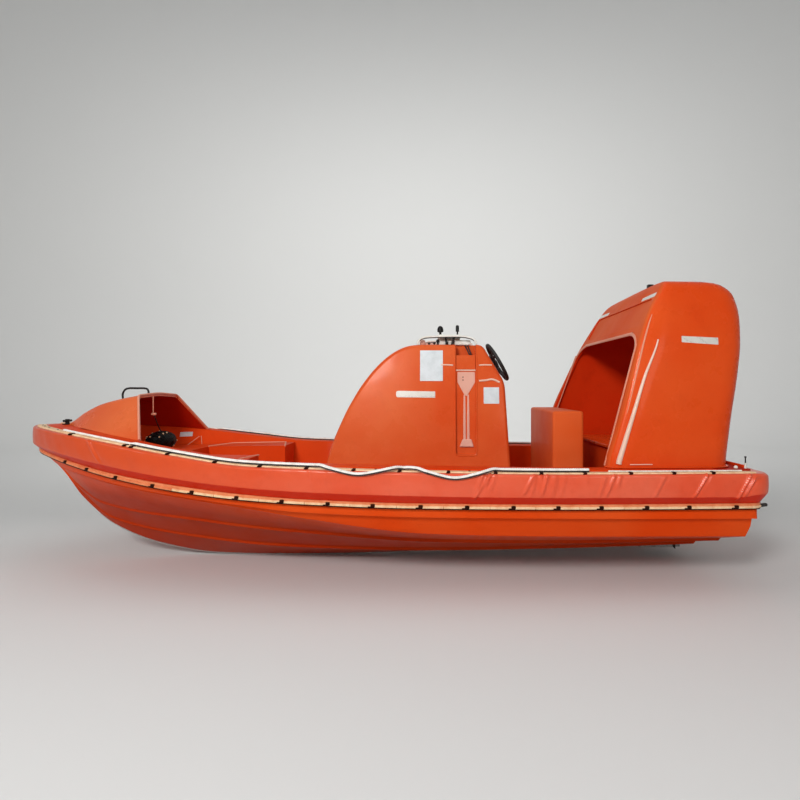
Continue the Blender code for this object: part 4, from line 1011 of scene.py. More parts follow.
def build_hull():
    line, normals = side_line(14)
    half = hull_corners(line, normals)[10:]
    rings = rounded(with_mirror(half), HULL_ROUNDING + HULL_ROUNDING[::-1], 3)
    hull = loft("hull_moulding", rings, hull_gelcoat, replaces=("hull",))
    ledge_z = smooth_rows(SIDE_HEIGHTS, line[-1, 0])[0][0]
    shelf_x = line[-1, 0] - LEDGE_DEPTH + GAP
    shelf_y = line[-1, 1]
    carve(hull, "transom_ledge", box_rings((shelf_x, -shelf_y, ledge_z - 0.08),
                                           (shelf_x + 0.1, shelf_y, ledge_z)), "UNION")
    xs = np.concatenate([[COCKPIT_AFT], np.linspace(COCKPIT_AFT + 0.1, COCKPIT_FORE - 0.1, 40),
                         [COCKPIT_FORE]])
    half_deck, half_floor, floor_z = smooth_rows(COCKPIT, xs).T
    deck_z = smooth_rows(SIDE_HEIGHTS, xs)[:, 4]
    out = SKIN + BOND_LINE
    low = floor_z - SKIN - GAP
    corners = np.stack([
        np.stack([xs, half_floor + out, low], axis=1),
        np.stack([xs, half_deck + out, deck_z - SKIN - GAP], axis=1),
        np.stack([xs, half_deck + out, deck_z + 0.2], axis=1),
    ], axis=1)
    carve(hull, "cockpit_space", with_mirror(corners))
    carve(hull, "jet_pocket", box_rings((-3.2, -POCKET_HALF, -0.6), (POCKET_FORE, POCKET_HALF, POCKET_TOP)))
    carve(hull, "intake_space", box_rings((POCKET_FORE + 0.005, -INTAKE_HALF, -0.6),
                                          (INTAKE_FORE, INTAKE_HALF, INTAKE_TOP)))
    rake = ((-3.2, -0.6), (RAKE_FOOT[0], -0.6), RAKE_FOOT, RAKE_TOP, BAND_FOOT, (-3.2, BAND_FOOT[1]))
    carve(hull, "stern_rake", np.array([[(x, y, z) for x, z in rake] for y in (1.2, -1.2)]))


def build_cockpit():
    """The inner moulding: floor, walls and side decks as one sheet with rounded inside corners."""
    xs = np.linspace(COCKPIT_AFT + GAP, COCKPIT_FORE - GAP, 90)
    half_deck, half_floor, floor_z = smooth_rows(COCKPIT, xs).T
    deck_z = smooth_rows(SIDE_HEIGHTS, xs)[:, 4]
    line, _ = side_line(4)
    order = np.argsort(line[:, 0])
    edge = np.interp(xs, line[order, 0], line[order, 1])
    sheets = []
    for skin in (0.0, SKIN):
        corners = np.stack([
            np.stack([xs, half_floor + skin, floor_z - skin], axis=1),
            np.stack([xs, half_deck + skin, deck_z - skin], axis=1),
            np.stack([xs, edge, deck_z - skin], axis=1),
        ], axis=1)
        ring = np.concatenate([corners[:, ::-1], corners * [1, -1, 1]], axis=1)
        sheets.append(rounded(ring, (0, 0.014, 0.05, 0.05, 0.014, 0), 5, closed=False))
    shell("cockpit_moulding", sheets[0], sheets[1], orange_inside, replaces=("cockpit_liner",))


# Fender collar

# The bow's cover reaches this far along the collar, and the quarter's ends at this x
BOW_SPAN = 0.66
QUARTER_X = -2.8899
COLLAR_STEP = 0.009
FACE_STEPS = 30
FOLD_DEPTH = 3.3


def fold_relief(along, share, height, folds):
    """Height of the folds of the cover: each is a soft ridge on a slanting line with a hollow beside it.
    `along` is the distance along the collar and `share` the height on its face, 1 at the top edge."""
    relief = np.zeros_like(along)
    for top, bottom, start, end, depth, width in folds:
        centre = bottom + (top - bottom) * share
        slant = math.hypot(1.0, (top - bottom) / height)
        across = (along - centre) / slant
        reach = 1.15 * width / 1000
        ridge = np.exp(-(across / reach) ** 2) - 0.45 * np.exp(-((across - 1.8 * reach) / (1.3 * reach)) ** 2)
        fade_in = smooth_step(share, end - 0.12, end + 0.2)
        fade_out = 1 - smooth_step(share, start - 0.05, start + 0.15)
        relief += FOLD_DEPTH * depth / 1000 * ridge * (fade_in * fade_out)
    return relief


def build_fenders():
    """The collar's cover in four lengths: a section with a soft shoulder, run round the hull, with folds."""
    line, normals = collar_line(COLLAR_STEP)
    x = np.maximum(line[:, 0], -3.0)
    _, bottom_z, face_z, top_z, _ = smooth_rows(SIDE_HEIGHTS, x).T
    along = np.concatenate([[0], np.cumsum(np.linalg.norm(np.diff(line, axis=0), axis=1))])
    astern = smooth_step(along, along[-1] - 1.10, along[-1] - 0.92)
    shoulder = 0.010 + 0.011 * astern
    face_z = face_z + 0.022 * astern
    full = np.full_like(x, FENDER_DEPTH)
    out = np.stack([0 * x + GAP, 0 * x + GAP, full - 0.003 - shoulder, full - 0.002, full, 0 * x + 0.058],
                   axis=1)
    heights = np.stack([bottom_z, top_z, top_z, top_z - shoulder, face_z, bottom_z], axis=1)
    flat = np.stack([out, heights], axis=-1)
    ring = rounded(flat, (0.004, 0.008, 0.007, 0.007, 0.006, 0.006), 5)
    ring = ring.reshape(len(line), 6, 6, 2)
    runs = []
    for corner in range(6):
        runs.append(ring[:, corner])
        start = ring[:, corner, -1]
        end = ring[:, (corner + 1) % 6, 0]
        count = (6, 6, 1, FACE_STEPS, 8, 4)[corner]
        share = np.linspace(0, 1, count + 2)[1:-1][None, :, None]
        runs.append(start[:, None] * (1 - share) + end[:, None] * share)
    section = np.concatenate(runs, axis=1)
    tangent = np.roll(section, -1, axis=1) - np.roll(section, 1, axis=1)
    facing = unit(np.stack([-tangent[..., 1], tangent[..., 0]], axis=-1))
    share = (section[..., 1] - face_z[:, None]) / (top_z - face_z)[:, None]
    outside = smooth_step(section[..., 0], 0.075, 0.105)
    crown = 0.005 * np.clip(4 * share * (1 - share), 0, 1) * outside
    side_s = np.interp(-np.array([row[0] for row in PORT_FOLDS]), -line[:, 0], along)
    low_s = np.interp(-np.array([row[1] for row in PORT_FOLDS]), -line[:, 0], along)
    port = [(top, low, *row[2:]) for top, low, row in zip(side_s, low_s, PORT_FOLDS)]
    starboard = random_folds(7, 26, 0.9, along[-1] - 0.9)
    ends = random_folds(12, 8, along[-1] - 0.85, along[-1] - 0.12)
    spread_s = np.broadcast_to(along[:, None], share.shape)
    last = int(np.searchsorted(-line[:, 0], -QUARTER_X))
    first = int(round(BOW_SPAN / COLLAR_STEP))
    for sign, side, folds in ((1, "port", port), (-1, "starboard", starboard)):
        relief = fold_relief(spread_s, share, 0.16, folds + ends)
        ripple = 0.0009 * np.sin(spread_s * 31 + 5 * share) * np.sin(spread_s * 12.7 + sign)
        moved = section + facing * ((relief + ripple) * outside + crown)[..., None]
        points = offset_rows(line, normals, moved[..., 0], moved[..., 1]) * [1, sign, 1]
        steps = np.linalg.norm(np.diff(section[len(line) // 2], axis=0), axis=1)
        around = np.concatenate([[0], np.cumsum(steps)])
        uv = np.stack(np.broadcast_arrays(spread_s, around[None, :]), axis=-1)
        if side == "port":
            bow_half, stern_half, ends_uv = points[:first + 1], points[last:], uv
        span = slice(first, last + 1)
        pad = loft(f"collar_{side}", points[span], collar_cover, uv=uv[span], sharp=60,
                   replaces=(f"fender_{side}",))
    flip = np.array([1, -1, 1])
    bow = np.concatenate([bow_half[::-1], bow_half[1:] * flip])
    bow_uv = np.concatenate([ends_uv[:first + 1][::-1], ends_uv[1:first + 1] * [-1, 1]])
    pad = loft("collar_bow", bow, collar_cover, uv=bow_uv, sharp=60, replaces=("fender_bow",))
    stern = np.concatenate([stern_half, stern_half[:-1][::-1] * flip])
    stern_uv = np.concatenate([ends_uv[last:], ends_uv[last:-1][::-1] * [-1, 1]])
    pad = loft("collar_stern", stern, collar_cover, uv=stern_uv, sharp=60, replaces=("fender_stern",))


def random_folds(seed, count, low, high):
    """Folds like those of the port side, scattered between two distances along the collar."""
    chance = np.random.default_rng(seed)
    places = np.sort(chance.uniform(low, high, count))
    return [(place, place - chance.uniform(0.02, 0.10), chance.uniform(0.85, 1.0), chance.uniform(-0.1, 0.5),
             chance.uniform(0.6, 3.6), chance.uniform(7, 12)) for place in places]


# Strips, clips and hooks

def strip_line():
    line, normals = collar_line(0.02)
    x = np.maximum(line[:, 0], -3.0)
    along = np.concatenate([[0], np.cumsum(np.linalg.norm(np.diff(line, axis=0), axis=1))])
    return line, normals, smooth_rows(SIDE_HEIGHTS, x), along


def strip_rings(line, normals, outs, heights, sign, radius=0.002):
    """Rings of a strip along the hull side from distances out from it and heights."""
    flat = np.stack([np.broadcast_to(outs, heights.shape), heights], axis=-1)
    ring = rounded(flat, radius, 2)
    return offset_rows(line, normals, ring[..., 0], ring[..., 1]) * [1, sign, 1]


def along_strip(at, sign):
    """Places on the hull side at distances from the stem: plan point, outward normal, ledge, collar top."""
    line, normals, heights, along = strip_line()
    place = np.stack([np.interp(at, along, line[:, k]) for k in (0, 1)], axis=1)
    facing = unit(np.stack([np.interp(at, along, normals[:, k]) for k in (0, 1)], axis=1))
    ledge, top = (np.interp(at, along, heights[:, k]) for k in (0, 3))
    flip = np.array([1, sign])
    return place * flip, facing * flip, ledge, top


def fitted(rings, place, facing, z):
    """Local rings (along the boat, out, up) carried to a plan point that faces outward."""
    out = np.array([facing[0], facing[1], 0.0])
    ahead = np.array([facing[1], -facing[0], 0.0])
    return np.array([place[0], place[1], z]) + rings @ np.stack([ahead, out, [0.0, 0.0, 1.0]])


def build_strips():
    """Below the collar an orange carrier strip, a dark lip under it and a rub band on it in lengths, cream,
    and orange at the bow as painted shade; above it a cream strip that holds the cover down. Clips sit on
    the lower band and hooks on the upper strip."""
    line, normals, heights, along = strip_line()
    ledge, bottom, top = heights[:, 0], heights[:, 1], heights[:, 3]
    low = ledge + GAP
    high = bottom - GAP
    end = along[-1]
    clip_places = np.interp(-np.array(CLIPS), -line[:, 0], along)
    joints = np.sort(np.concatenate([[0.12], clip_places, (clip_places[1:] + clip_places[:-1]) / 2,
                                     [float(np.interp(2.90, -line[:, 0], along))]]))
    hook_places = np.interp(-np.array(HOOKS), -line[:, 0], along)
    for sign, side in ((1, "port"), (-1, "starboard")):
        z = np.stack([low, low + 0.006, low + 0.020, high - 0.004, high, high, low], axis=1)
        outs = np.array([0.052, 0.060, 0.062, STRIP_DEPTH, 0.060, 0.002, 0.002])
        loft(f"rub_strip_{side}", strip_rings(line, normals, outs, z, sign), pink_vinyl,
             replaces=(f"lower_strip_{side}",))
        z = np.stack([low - 0.007, low + 0.001, low + 0.001, low - 0.007], axis=1)
        span = slice(1, -36)
        outs = np.array([0.046, 0.046, 0.0665, 0.0655])
        loft(f"rub_lip_{side}", strip_rings(line[span], normals[span], outs, z[span], sign), brown_nylon)
        bands, shaded_bow_bands = [], []
        for start, stop in zip(joints[:-1], joints[1:]):
            at = np.append(np.arange(start, stop - 0.008, 0.02), stop - 0.004)
            place, facing, base, _ = along_strip(at, 1)
            z = np.stack([base + 0.002, base + 0.001, base + 0.015, base + 0.020], axis=1)
            rings = strip_rings(place, facing, np.array([0.060, 0.0680, 0.0700, 0.0615]), z, sign)
            # Lengths ahead of x 1.4 take the orange vinyl: painted shade on the cream band.
            (shaded_bow_bands if place[0, 0] > 1.4 else bands).append(rings)
        joined(f"rub_band_{side}", bands, cream_vinyl)
        joined(f"rub_band_bow_{side}", shaded_bow_bands, pink_vinyl)
        body = block_rings((-0.016, 0.058, 0.001), (0.016, 0.0765, 0.026), 0.007, 3)
        tab = block_rings((0.006, 0.060, -0.001), (0.036, 0.0745, 0.010), 0.005, 3)
        clips = []
        place, facing, base, _ = along_strip(clip_places, sign)
        for i, z in enumerate(base):
            clips += [fitted(rings * [sign, 1, 1], place[i], facing[i], z) for rings in (body, tab)]
        joined(f"rub_clips_{side}", clips, brown_nylon)
        inside = slice(int(0.12 / 0.02), int((end - 0.95) / 0.02))
        z = np.stack([top + GAP, top + STRIP_HEIGHT - 0.003, top + STRIP_HEIGHT, top + STRIP_HEIGHT,
                      top + GAP], axis=1)[inside]
        outs = np.array([0.082, 0.080, 0.072, 0.014, 0.014])
        loft(f"cover_strip_{side}", strip_rings(line[inside], normals[inside], outs, z, sign), cream_vinyl,
             replaces=(f"upper_strip_{side}",))
        hook = block_rings((-0.012, 0.050, 0.002), (0.012, 0.094, 0.016), 0.005, 3)
        drop = block_rings((-0.012, 0.086, -0.014), (0.012, 0.099, 0.014), 0.005, 3)
        drop[..., 0] += (0.014 - drop[..., 2]) * 0.5
        hooks = []
        place, facing, _, lift = along_strip(hook_places, sign)
        for i, z in enumerate(lift):
            hooks += [fitted(rings * [sign, 1, 1], place[i], facing[i], z) for rings in (hook, drop)]
        joined(f"rope_hooks_{side}", hooks, brown_nylon)
        place, facing, _, lift = along_strip(np.interp(-np.array(BOLTS), -line[:, 0], along), sign)
        turn = np.linspace(0, 2 * math.pi, 12, endpoint=False)
        bolt = np.stack([np.stack([r * np.cos(turn), 0.042 + r * np.sin(turn), 0 * turn + h], axis=1)
                         for r, h in ((0.008, 0.009), (0.008, 0.012), (0.005, 0.0145))])
        joined(f"strip_bolts_{side}", [fitted(bolt, place[i], facing[i], z) for i, z in enumerate(lift)],
               black_nylon)
        quarter = block_rings((-0.004, -0.016, -0.012), (0.062, 0.016, 0.012), 0.008, 3)
        quarter[..., 2] += np.where(quarter[..., 0] > 0.03, 0.006, 0.0)
        cap_x = line[np.searchsorted(-line[:, 0], 2.88), 0] - 0.062
        joined(f"quarter_cap_{side}", [quarter * [-1, 1, 1] + [cap_x, sign * 0.93, ledge[-1] + 0.004]],
               black_rubber)


# Cuddy, console, hood and seat

def deck_height(x):
    """Height of the deck edge at x."""
    return smooth_rows(SIDE_HEIGHTS, x)[:, 4]


# Radii of the cuddy section's corners, from the port foot over the crown to the starboard foot
CUDDY_ROUNDING = (0, 0.03, 0.1, 0.03, 0)


def build_cuddy():
    aft = CUDDY[0][0]
    rim = aft + CUDDY_RIM_DEPTH
    xs = np.concatenate([[aft, aft + 0.002, rim - 0.004, rim], np.linspace(rim + 0.002, CUDDY[-1][0], 60)])
    base_half, top_x, top_half, top_z, crown_z = smooth_rows(CUDDY, xs).T
    deck_z = deck_height(xs) + GAP
    wall = np.where(xs < rim + 0.001, CUDDY_RIM, CUDDY_WALL)
    sheets = []
    for inset in (0 * xs, wall):
        port = np.stack([np.stack([xs, np.maximum(base_half - inset * 1.3, 0.008), deck_z], axis=1),
                         np.stack([top_x, np.maximum(top_half - inset * 0.7, 0.006),
                                   np.maximum(top_z - inset, deck_z + 0.001)], axis=1),
                         np.stack([top_x, 0 * xs, np.maximum(crown_z - inset, deck_z + 0.001)], axis=1)],
                        axis=1)
        ring = np.concatenate([port, port[:, 1::-1] * [1, -1, 1]], axis=1)
        sheets.append(rounded(ring, CUDDY_ROUNDING, 5, closed=False))
    cuddy = shell("cuddy_moulding", sheets[0], sheets[1], faded_gelcoat, replaces=("cuddy",))
    # Faces inside the cuddy take the darker gelcoat: painted shade.
    refinish(cuddy, painted_shade_gelcoat,
             lambda centres, normals: ((centres - [0, 0, 0.6]) * normals * [0, 1, 1]).sum(axis=1) < -0.02)


def on_far_liner(x, z, lift):
    """Points on the cockpit's starboard wall from x, z and a height off it."""
    half_deck, half_floor, floor_z = smooth_rows(COCKPIT, x).T
    share = (z - floor_z) / (deck_height(x) - floor_z)
    return np.stack([x, lift - half_floor - share * (half_deck - half_floor), z], axis=1)


# Stowed net: share of its node's box, share of that which its core and its twine take, twine and flecks
NET_FILL = (0.78, 0.9, 1.0)
NET_CORE = 0.93
TWINE_PLACE = 0.95
TWINE_LOOPS = 22
TWINE_RADIUS = 0.005
FLECK_HALF = 0.007


def build_net():
    """The stowed net, a core wound round at random with flecked twine, and the lanyard that holds it."""
    low, high = (np.array(corner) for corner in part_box("stowed_net"))
    centre = (low + high) / 2
    half = (high - low) / 2 * NET_FILL
    turn = np.linspace(0, 2 * math.pi, 33)
    circle = np.stack([np.cos(turn), np.sin(turn), 0 * turn], axis=1)[:-1]
    ball = np.stack([circle * math.sqrt(1 - h * h) + [0, 0, h] for h in np.linspace(-0.98, 0.98, 15)])
    loft("net_core", centre + ball * half * NET_CORE, black_net, replaces=("stowed_net",))
    chance = np.random.default_rng(5)
    loops, flecks = [], []
    for _ in range(TWINE_LOOPS):
        pole = unit(chance.normal(size=3))
        first = unit(np.cross(pole, chance.normal(size=3)))
        second = np.cross(pole, first)
        tilt = chance.uniform(0.0, 0.6)
        round_pole = np.cos(turn)[:, None] * first + np.sin(turn)[:, None] * second
        ring = pole * tilt + math.sqrt(1 - tilt * tilt) * round_pole
        rings = tube_rings(centre + ring * half * TWINE_PLACE, TWINE_RADIUS, 8)
        rings[0] = rings[-1] = (rings[0] + rings[-1]) / 2
        loops.append(rings)
        spot = centre + ring[chance.integers(32)] * half
        flecks.append(block_rings(spot - FLECK_HALF, spot + FLECK_HALF, 0.005, 2))
    joined("net_twine", loops, black_net)
    joined("net_flecks", flecks, cream_vinyl)
    top = centre + [0.0, 0.0, half[2]]
    line = [(1.885, 0.20, 0.83), (1.87, 0.20, 0.79), top + [0.02, 0.02, 0.05], top + [0.0, 0.0, -0.01]]
    joined("net_lanyard", [tube_rings(evenly(curve_through(line, 6), 0.012), 0.0045, 10)], black_net)


def build_cuddy_fittings():
    """The post under the cuddy's roof that the lanyard hangs from, and a pale bead on the cuddy's rim as
    painted highlight.
    """
    post = np.array([(1.89, 0.20, z) for z in (0.83, 0.88, 0.93, 0.985)])
    foot = block_rings((1.865, 0.186, 0.82), (1.905, 0.214, 0.842), 0.008, 3)
    joined("lanyard_post", [tube_rings(post, 0.004, 8), foot], soft_highlight_gelcoat)
    aft = CUDDY[0][0]
    base_half, top_x, top_half, top_z, crown_z = smooth_rows(CUDDY, aft)[0]
    base_z = float(deck_height(aft)[0]) + 0.008
    rim = [(aft, base_half, base_z), (top_x, top_half, top_z), (top_x, 0.0, crown_z),
           (top_x, -top_half, top_z), (aft, -base_half, base_z)]
    path = evenly(rounded(rim, CUDDY_ROUNDING, 5, closed=False), 0.015)
    tube("cuddy_rim_bead", path, 0.009, soft_highlight_gelcoat)


def build_liner_details():
    """A bare label and a gusset's edges on the cockpit's starboard wall, near the cuddy; the pale edges
    are painted highlight.
    """
    corners = ((1.875, 0.622), (1.980, 0.622), (1.980, 0.578), (1.875, 0.578))
    joined("bare_label", [plate_rings(corners, on_far_liner, 0.003)], paper_label)
    upright = on_far_liner(np.linspace(1.80, 1.78, 6), np.linspace(0.58, 0.46, 6), 0.004)
    slope = on_far_liner(np.linspace(1.80, 1.92, 8), np.linspace(0.58, 0.47, 8), 0.05)
    joined("wall_gusset", [tube_rings(path, 0.004, 8) for path in (upright, slope)], soft_highlight_gelcoat)


def build_bench_edges():
    """Pale inner edges along the tops of the benches: painted highlight."""
    edges = []
    for name in ("bench_port", "bench_starboard"):
        points = np.array([vertex.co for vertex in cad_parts[name].data.vertices])
        points = points[points[:, 2] > points[:, 2].max() - 0.001]
        columns = [points[np.abs(points[:, 0] - x) < 0.002] for x in np.unique(np.round(points[:, 0], 3))]
        path = np.array([column[np.argmin(np.abs(column[:, 1]))] for column in columns])
        if len(path) > 1:
            edges.append(tube_rings(path, 0.008, 10))
    joined("bench_edges", edges, soft_highlight_gelcoat)


def console_half(z):
    """Half-width of the console at a height."""
    return np.interp(z, (FLOOR_Z, CONSOLE_TOP), (CONSOLE_BASE_HALF, CONSOLE_TOP_HALF))


def inset_outline(outline, distance):
    """A closed outline moved inward along its normals."""
    tangent = unit(np.roll(outline, -1, axis=0) - np.roll(outline, 1, axis=0))
    normal = np.stack([-tangent[:, 1], tangent[:, 0]], axis=1)
    area = np.sum(outline[:, 0] * np.roll(outline[:, 1], -1) - np.roll(outline[:, 0], -1) * outline[:, 1])
    return outline + normal * distance * np.sign(area)


def build_console():
    """The side outline carried across the boat, drawn in by a quarter circle towards each side."""
    radii = np.array([0.003] + [0.08] * 7 + [0.12, 0.05, 0.06, 0.08, 0.003])
    outline = rounded(np.array(CONSOLE_SIDE), radii, 6)
    edge = 0.032
    turn = np.linspace(0, math.pi / 2, 7)
    insets = np.concatenate([edge * (1 - np.sin(turn)), edge * (1 - np.sin(turn))[::-1]])
    shares = np.concatenate([edge * (1 - np.cos(turn)), np.full(7, -1.0)])
    rings = []
    for side, order in ((1, slice(None)), (-1, slice(None, None, -1))):
        for inset, back in list(zip(insets[:7], shares[:7]))[order]:
            ring = inset_outline(outline, inset)
            ring[:, 1] = np.maximum(ring[:, 1], FLOOR_Z + GAP)
            rings.append(np.stack([ring[:, 0], side * (console_half(ring[:, 1]) - back), ring[:, 1]], axis=1))
    console = loft("console_moulding", np.array(rings), faded_gelcoat, replaces=("console",))
    for sign in (1, -1):
        corners = np.array([(CHANNEL_AFT, 1.6), (CHANNEL_FORE, 1.6), (CHANNEL_FORE, CHANNEL_FOOT),
                            (CHANNEL_AFT, CHANNEL_FOOT)])
        outline = rounded(corners, (0, 0, 0.03, 0.03), 6)
        half = console_half(outline[:, 1])
        rings = []
        for y, grow in ((0.6 - half, 0.0), (0.006 + 0 * half, 0.0), (-CHANNEL_DEPTH, -0.006)):
            ring = inset_outline(outline, -grow)
            rings.append(np.stack([ring[:, 0], sign * (half + y), ring[:, 1]], axis=1))
        carve(console, f"channel_{sign}", np.array(rings))
        low, high = sorted((sign * 0.15, sign * 0.5))
        carve(console, f"hose_recess_{sign}", box_rings((CHANNEL_AFT + 0.004, low, HOSE_RECESS),
                                                        (CHANNEL_FORE - 0.004, high, 1.6)))
    build_console_details()


def console_side_y(x, z):
    """The console is as wide at every x, so only z counts."""
    return console_half(z)


def tube_rows(points, radius, sides=10, step=0.012):
    """Rings of a tube along a smooth curve through points."""
    return tube_rings(evenly(curve_through(points, 6), step), radius, sides)


def build_console_details():
    """What is fitted in and on the console's sides: the duct in its channel, ledges, plates and tapes."""
    ducts, covers, edges, ledges, plates, tapes, screws = [], [], [], [], [], [], []
    low, high = CHANNEL_AFT + 0.008, CHANNEL_FORE - 0.008
    middle = (low + high) / 2
    for sign in (1, -1):
        on = on_side(console_side_y, sign)
        floor = -CHANNEL_DEPTH
        covers.append(plate_rings(((low, 1.334), (high, 1.334), (high, 1.215), (low, 1.215)), on,
                                  floor + 0.022, radius=0.006, bevel=0.004, sunk=0.04))
        edges.append(tube_rows([on(np.array([x]), np.array([1.208]), floor + 0.016)[0]
                                for x in (low, middle, high)], 0.0065))
        ducts.append(plate_rings(((low + 0.004, 1.195), (high - 0.012, 1.195), (high - 0.012, 1.105),
                                  (middle + 0.012, 1.0), (middle - 0.008, 0.985), (low + 0.004, 1.105)), on,
                                 floor + 0.014, radius=0.010, bevel=0.003, sunk=0.04))
        for x in (middle - 0.020, middle + 0.012):
            path = np.array([(x, sign * (console_half(z) + floor - 0.002), z)
                             for z in np.linspace(0.60, 1.0, 14)])
            ducts.append(tube_rings(path, 0.013, 14))
        ducts.append(plate_rings(((middle - 0.045, 0.625), (middle + 0.030, 0.625), (middle + 0.055, 0.560),
                                  (middle - 0.065, 0.560)), on, floor + 0.020, radius=0.008, bevel=0.006,
                                 sunk=0.04))
        edges.append(tube_rows([on(np.array([x]), np.array([z]), 0.0)[0] for x, z in
                                 ((-0.60, 1.255), (-0.66, 1.254), (-0.705, 1.250))], 0.006))
        edges.append(tube_rows([on(np.array([x]), np.array([z]), 0.0)[0] for x, z in
                                 ((-0.925, 1.250), (-0.97, 1.254), (-1.035, 1.252))], 0.006))
        edges.append(tube_rows([on(np.array([x]), np.array([z]), 0.0)[0] for x, z in
                                 ((-0.925, 1.118), (-0.98, 1.122), (-1.04, 1.130), (-1.10, 1.105))], 0.0085))
        plates.append(plate_rings(((-0.424, 1.378), (-0.618, 1.378), (-0.618, 1.116), (-0.424, 1.116)), on,
                                  0.002))
        plates.append(plate_rings(((-0.963, 1.063), (-1.094, 1.063), (-1.094, 0.924), (-0.963, 0.924)), on,
                                  0.002))
        tapes.append(plate_rings(((-0.222, 1.034), (-0.553, 1.028), (-0.553, 0.974), (-0.222, 0.978)), on,
                                 0.0015, radius=(0.02, 0.003, 0.003, 0.02)))
        for x, z in ((-0.79, 1.150), (-0.79, 1.125)):
            head = np.array([[(x + r * math.cos(a), z + r * math.sin(a))
                              for a in np.linspace(0, 2 * math.pi, 10, False)]
                             for r in (0.005, 0.005, 0.003)])
            screws.append(np.stack([on(ring[:, 0], ring[:, 1], floor + h)
                                    for ring, h in zip(head, (0.01, 0.016, 0.018))]))
        turn = np.linspace(0, math.pi / 2, 7)
        corner = 0.03
        lip = [(CHANNEL_AFT, z) for z in np.linspace(CONSOLE_TOP - 0.03, CHANNEL_FOOT + corner, 30)]
        lip += [(CHANNEL_AFT + corner * (1 - math.cos(a)), CHANNEL_FOOT + corner * (1 - math.sin(a)))
                for a in turn[1:]]
        lip += [(CHANNEL_FORE - corner * (1 - math.sin(a)), CHANNEL_FOOT + corner * (1 - math.cos(a)))
                for a in turn]
        lip += [(CHANNEL_FORE, z) for z in np.linspace(CHANNEL_FOOT + corner, CONSOLE_TOP - 0.03, 30)[1:]]
        lip = np.array(lip)
        path = np.stack([lip[:, 0], sign * (console_half(lip[:, 1]) - 0.0015), lip[:, 1]], axis=1)
        ledges.append(tube_rings(evenly(path, 0.012), 0.0065, 10))
    # The ducts' pale colour is a painted reflection.
    joined("console_ducts", ducts, orange_pale)
    joined("duct_covers", covers, faded_gelcoat)
    # The pale edges on the console's sides are painted highlights.
    joined("console_edges", edges, bright_highlight_gelcoat)
    joined("console_ledges", ledges, faded_gelcoat)
    joined("console_plates", plates, paper_label)
    joined("console_tapes", tapes, tape)
    joined("duct_screws", screws, black_nylon)


def build_helm():
    """What stands on the console: the hoops with their black seal, the pod, levers and cables."""
    foot = CONSOLE_TOP + GAP
    route = ((-0.404, 0.242, foot), (-0.406, 0.242, foot + 0.022), (-0.425, 0.241, foot + 0.048),
             (-0.475, 0.238, foot + 0.065), (-0.57, 0.236, foot + 0.070), (-0.70, 0.236, foot + 0.073),
             (-0.80, 0.236, foot + 0.070), (-0.865, 0.238, foot + 0.056), (-0.896, 0.241, foot + 0.032),
             (-0.905, 0.242, foot))
    for sign, side in ((1, "port"), (-1, "starboard")):
        path = evenly(curve_through([(x, sign * y, z) for x, y, z in route], 6), 0.012)
        tube(f"rail_{side}", path, 0.0095, white_gelcoat, sides=16, replaces=(f"console_rail_{side}",))
        seal = path[4:-4] * [1, 1, 1] + [0, sign * 0.004, -0.010]
        tube(f"rail_seal_{side}", seal, 0.0045, black_rubber, sides=10)
    low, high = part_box("instrument_panel")
    block("pod_moulding", low, high, 0.010, white_gelcoat, replaces=("instrument_panel",))
    coaming = [block_rings((-0.90, -0.25, foot - 0.002), (-0.42, -0.236, foot + 0.052), 0.005, 3),
               block_rings((-0.465, -0.20, foot - 0.002), (-0.42, 0.20, foot + 0.045), 0.012, 3)]
    joined("console_coaming", coaming, orange_pale)
    knobs, levers, cables = [], [], []
    turn = np.linspace(0, 2 * math.pi, 14, endpoint=False)
    for x, y, height in ((-0.545, 0.19, 0.022), (-0.575, 0.19, 0.046), (-0.50, 0.195, 0.014)):
        knob = ((0.010, -0.001), (0.006, height * 0.4), (0.013, height * 0.6), (0.012, height),
                (0.004, height + 0.004))
        knobs.append(np.stack([np.stack([x + r * np.cos(turn), y + r * np.sin(turn), 0 * turn + foot + h],
                                        axis=1) for r, h in knob]))
    for x, lean in ((-0.655, 0.012), (-0.700, -0.014)):
        levers.append(tube_rings(np.array([(x + lean * t, 0.205, foot - 0.001 + 0.066 * t)
                                           for t in np.linspace(0, 1, 8)]), np.linspace(0.013, 0.008, 8), 12))
    for shift in (0.0, 0.024):
        cables.append(tube_rows(((-0.70, -0.15, foot + 0.052), (-0.75, -0.10, foot + 0.056),
                                 (-0.79, 0.0, foot + 0.048), (-0.80 - shift, 0.12, foot + 0.026),
                                 (-0.825 - 0.8 * shift, 0.185, foot - 0.03),
                                 (-0.85 - 0.6 * shift, 0.215, HOSE_RECESS + 0.004)), 0.006))
    joined("helm_knobs", knobs, black_nylon)
    joined("helm_levers", levers, black_nylon)
    joined("helm_cables", cables, black_rubber)
    low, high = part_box("compass")
    x = (low[0] + high[0]) / 2
    profile = [(0.018, low[2]), (0.018, low[2] + 0.006), (0.011, low[2] + 0.012), (0.011, low[2] + 0.040),
               (0.027, low[2] + 0.046), (0.028, low[2] + 0.060), (0.026, low[2] + 0.075),
               (0.019, low[2] + 0.090), (0.008, low[2] + 0.099)]
    turned("compass_body", profile, black_nylon, (x, 0, 0), replaces=("compass",))
    low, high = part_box("console_lamp")
    x = (low[0] + high[0]) / 2
    profile = [(0.011, low[2]), (0.011, low[2] + 0.004), (0.007, low[2] + 0.008), (0.007, low[2] + 0.046),
               (0.015, low[2] + 0.049), (0.015, low[2] + 0.096), (0.011, low[2] + 0.104),
               (0.004, low[2] + 0.107)]
    turned("lamp_body", profile, black_nylon, (x, 0, 0), replaces=("console_lamp",))


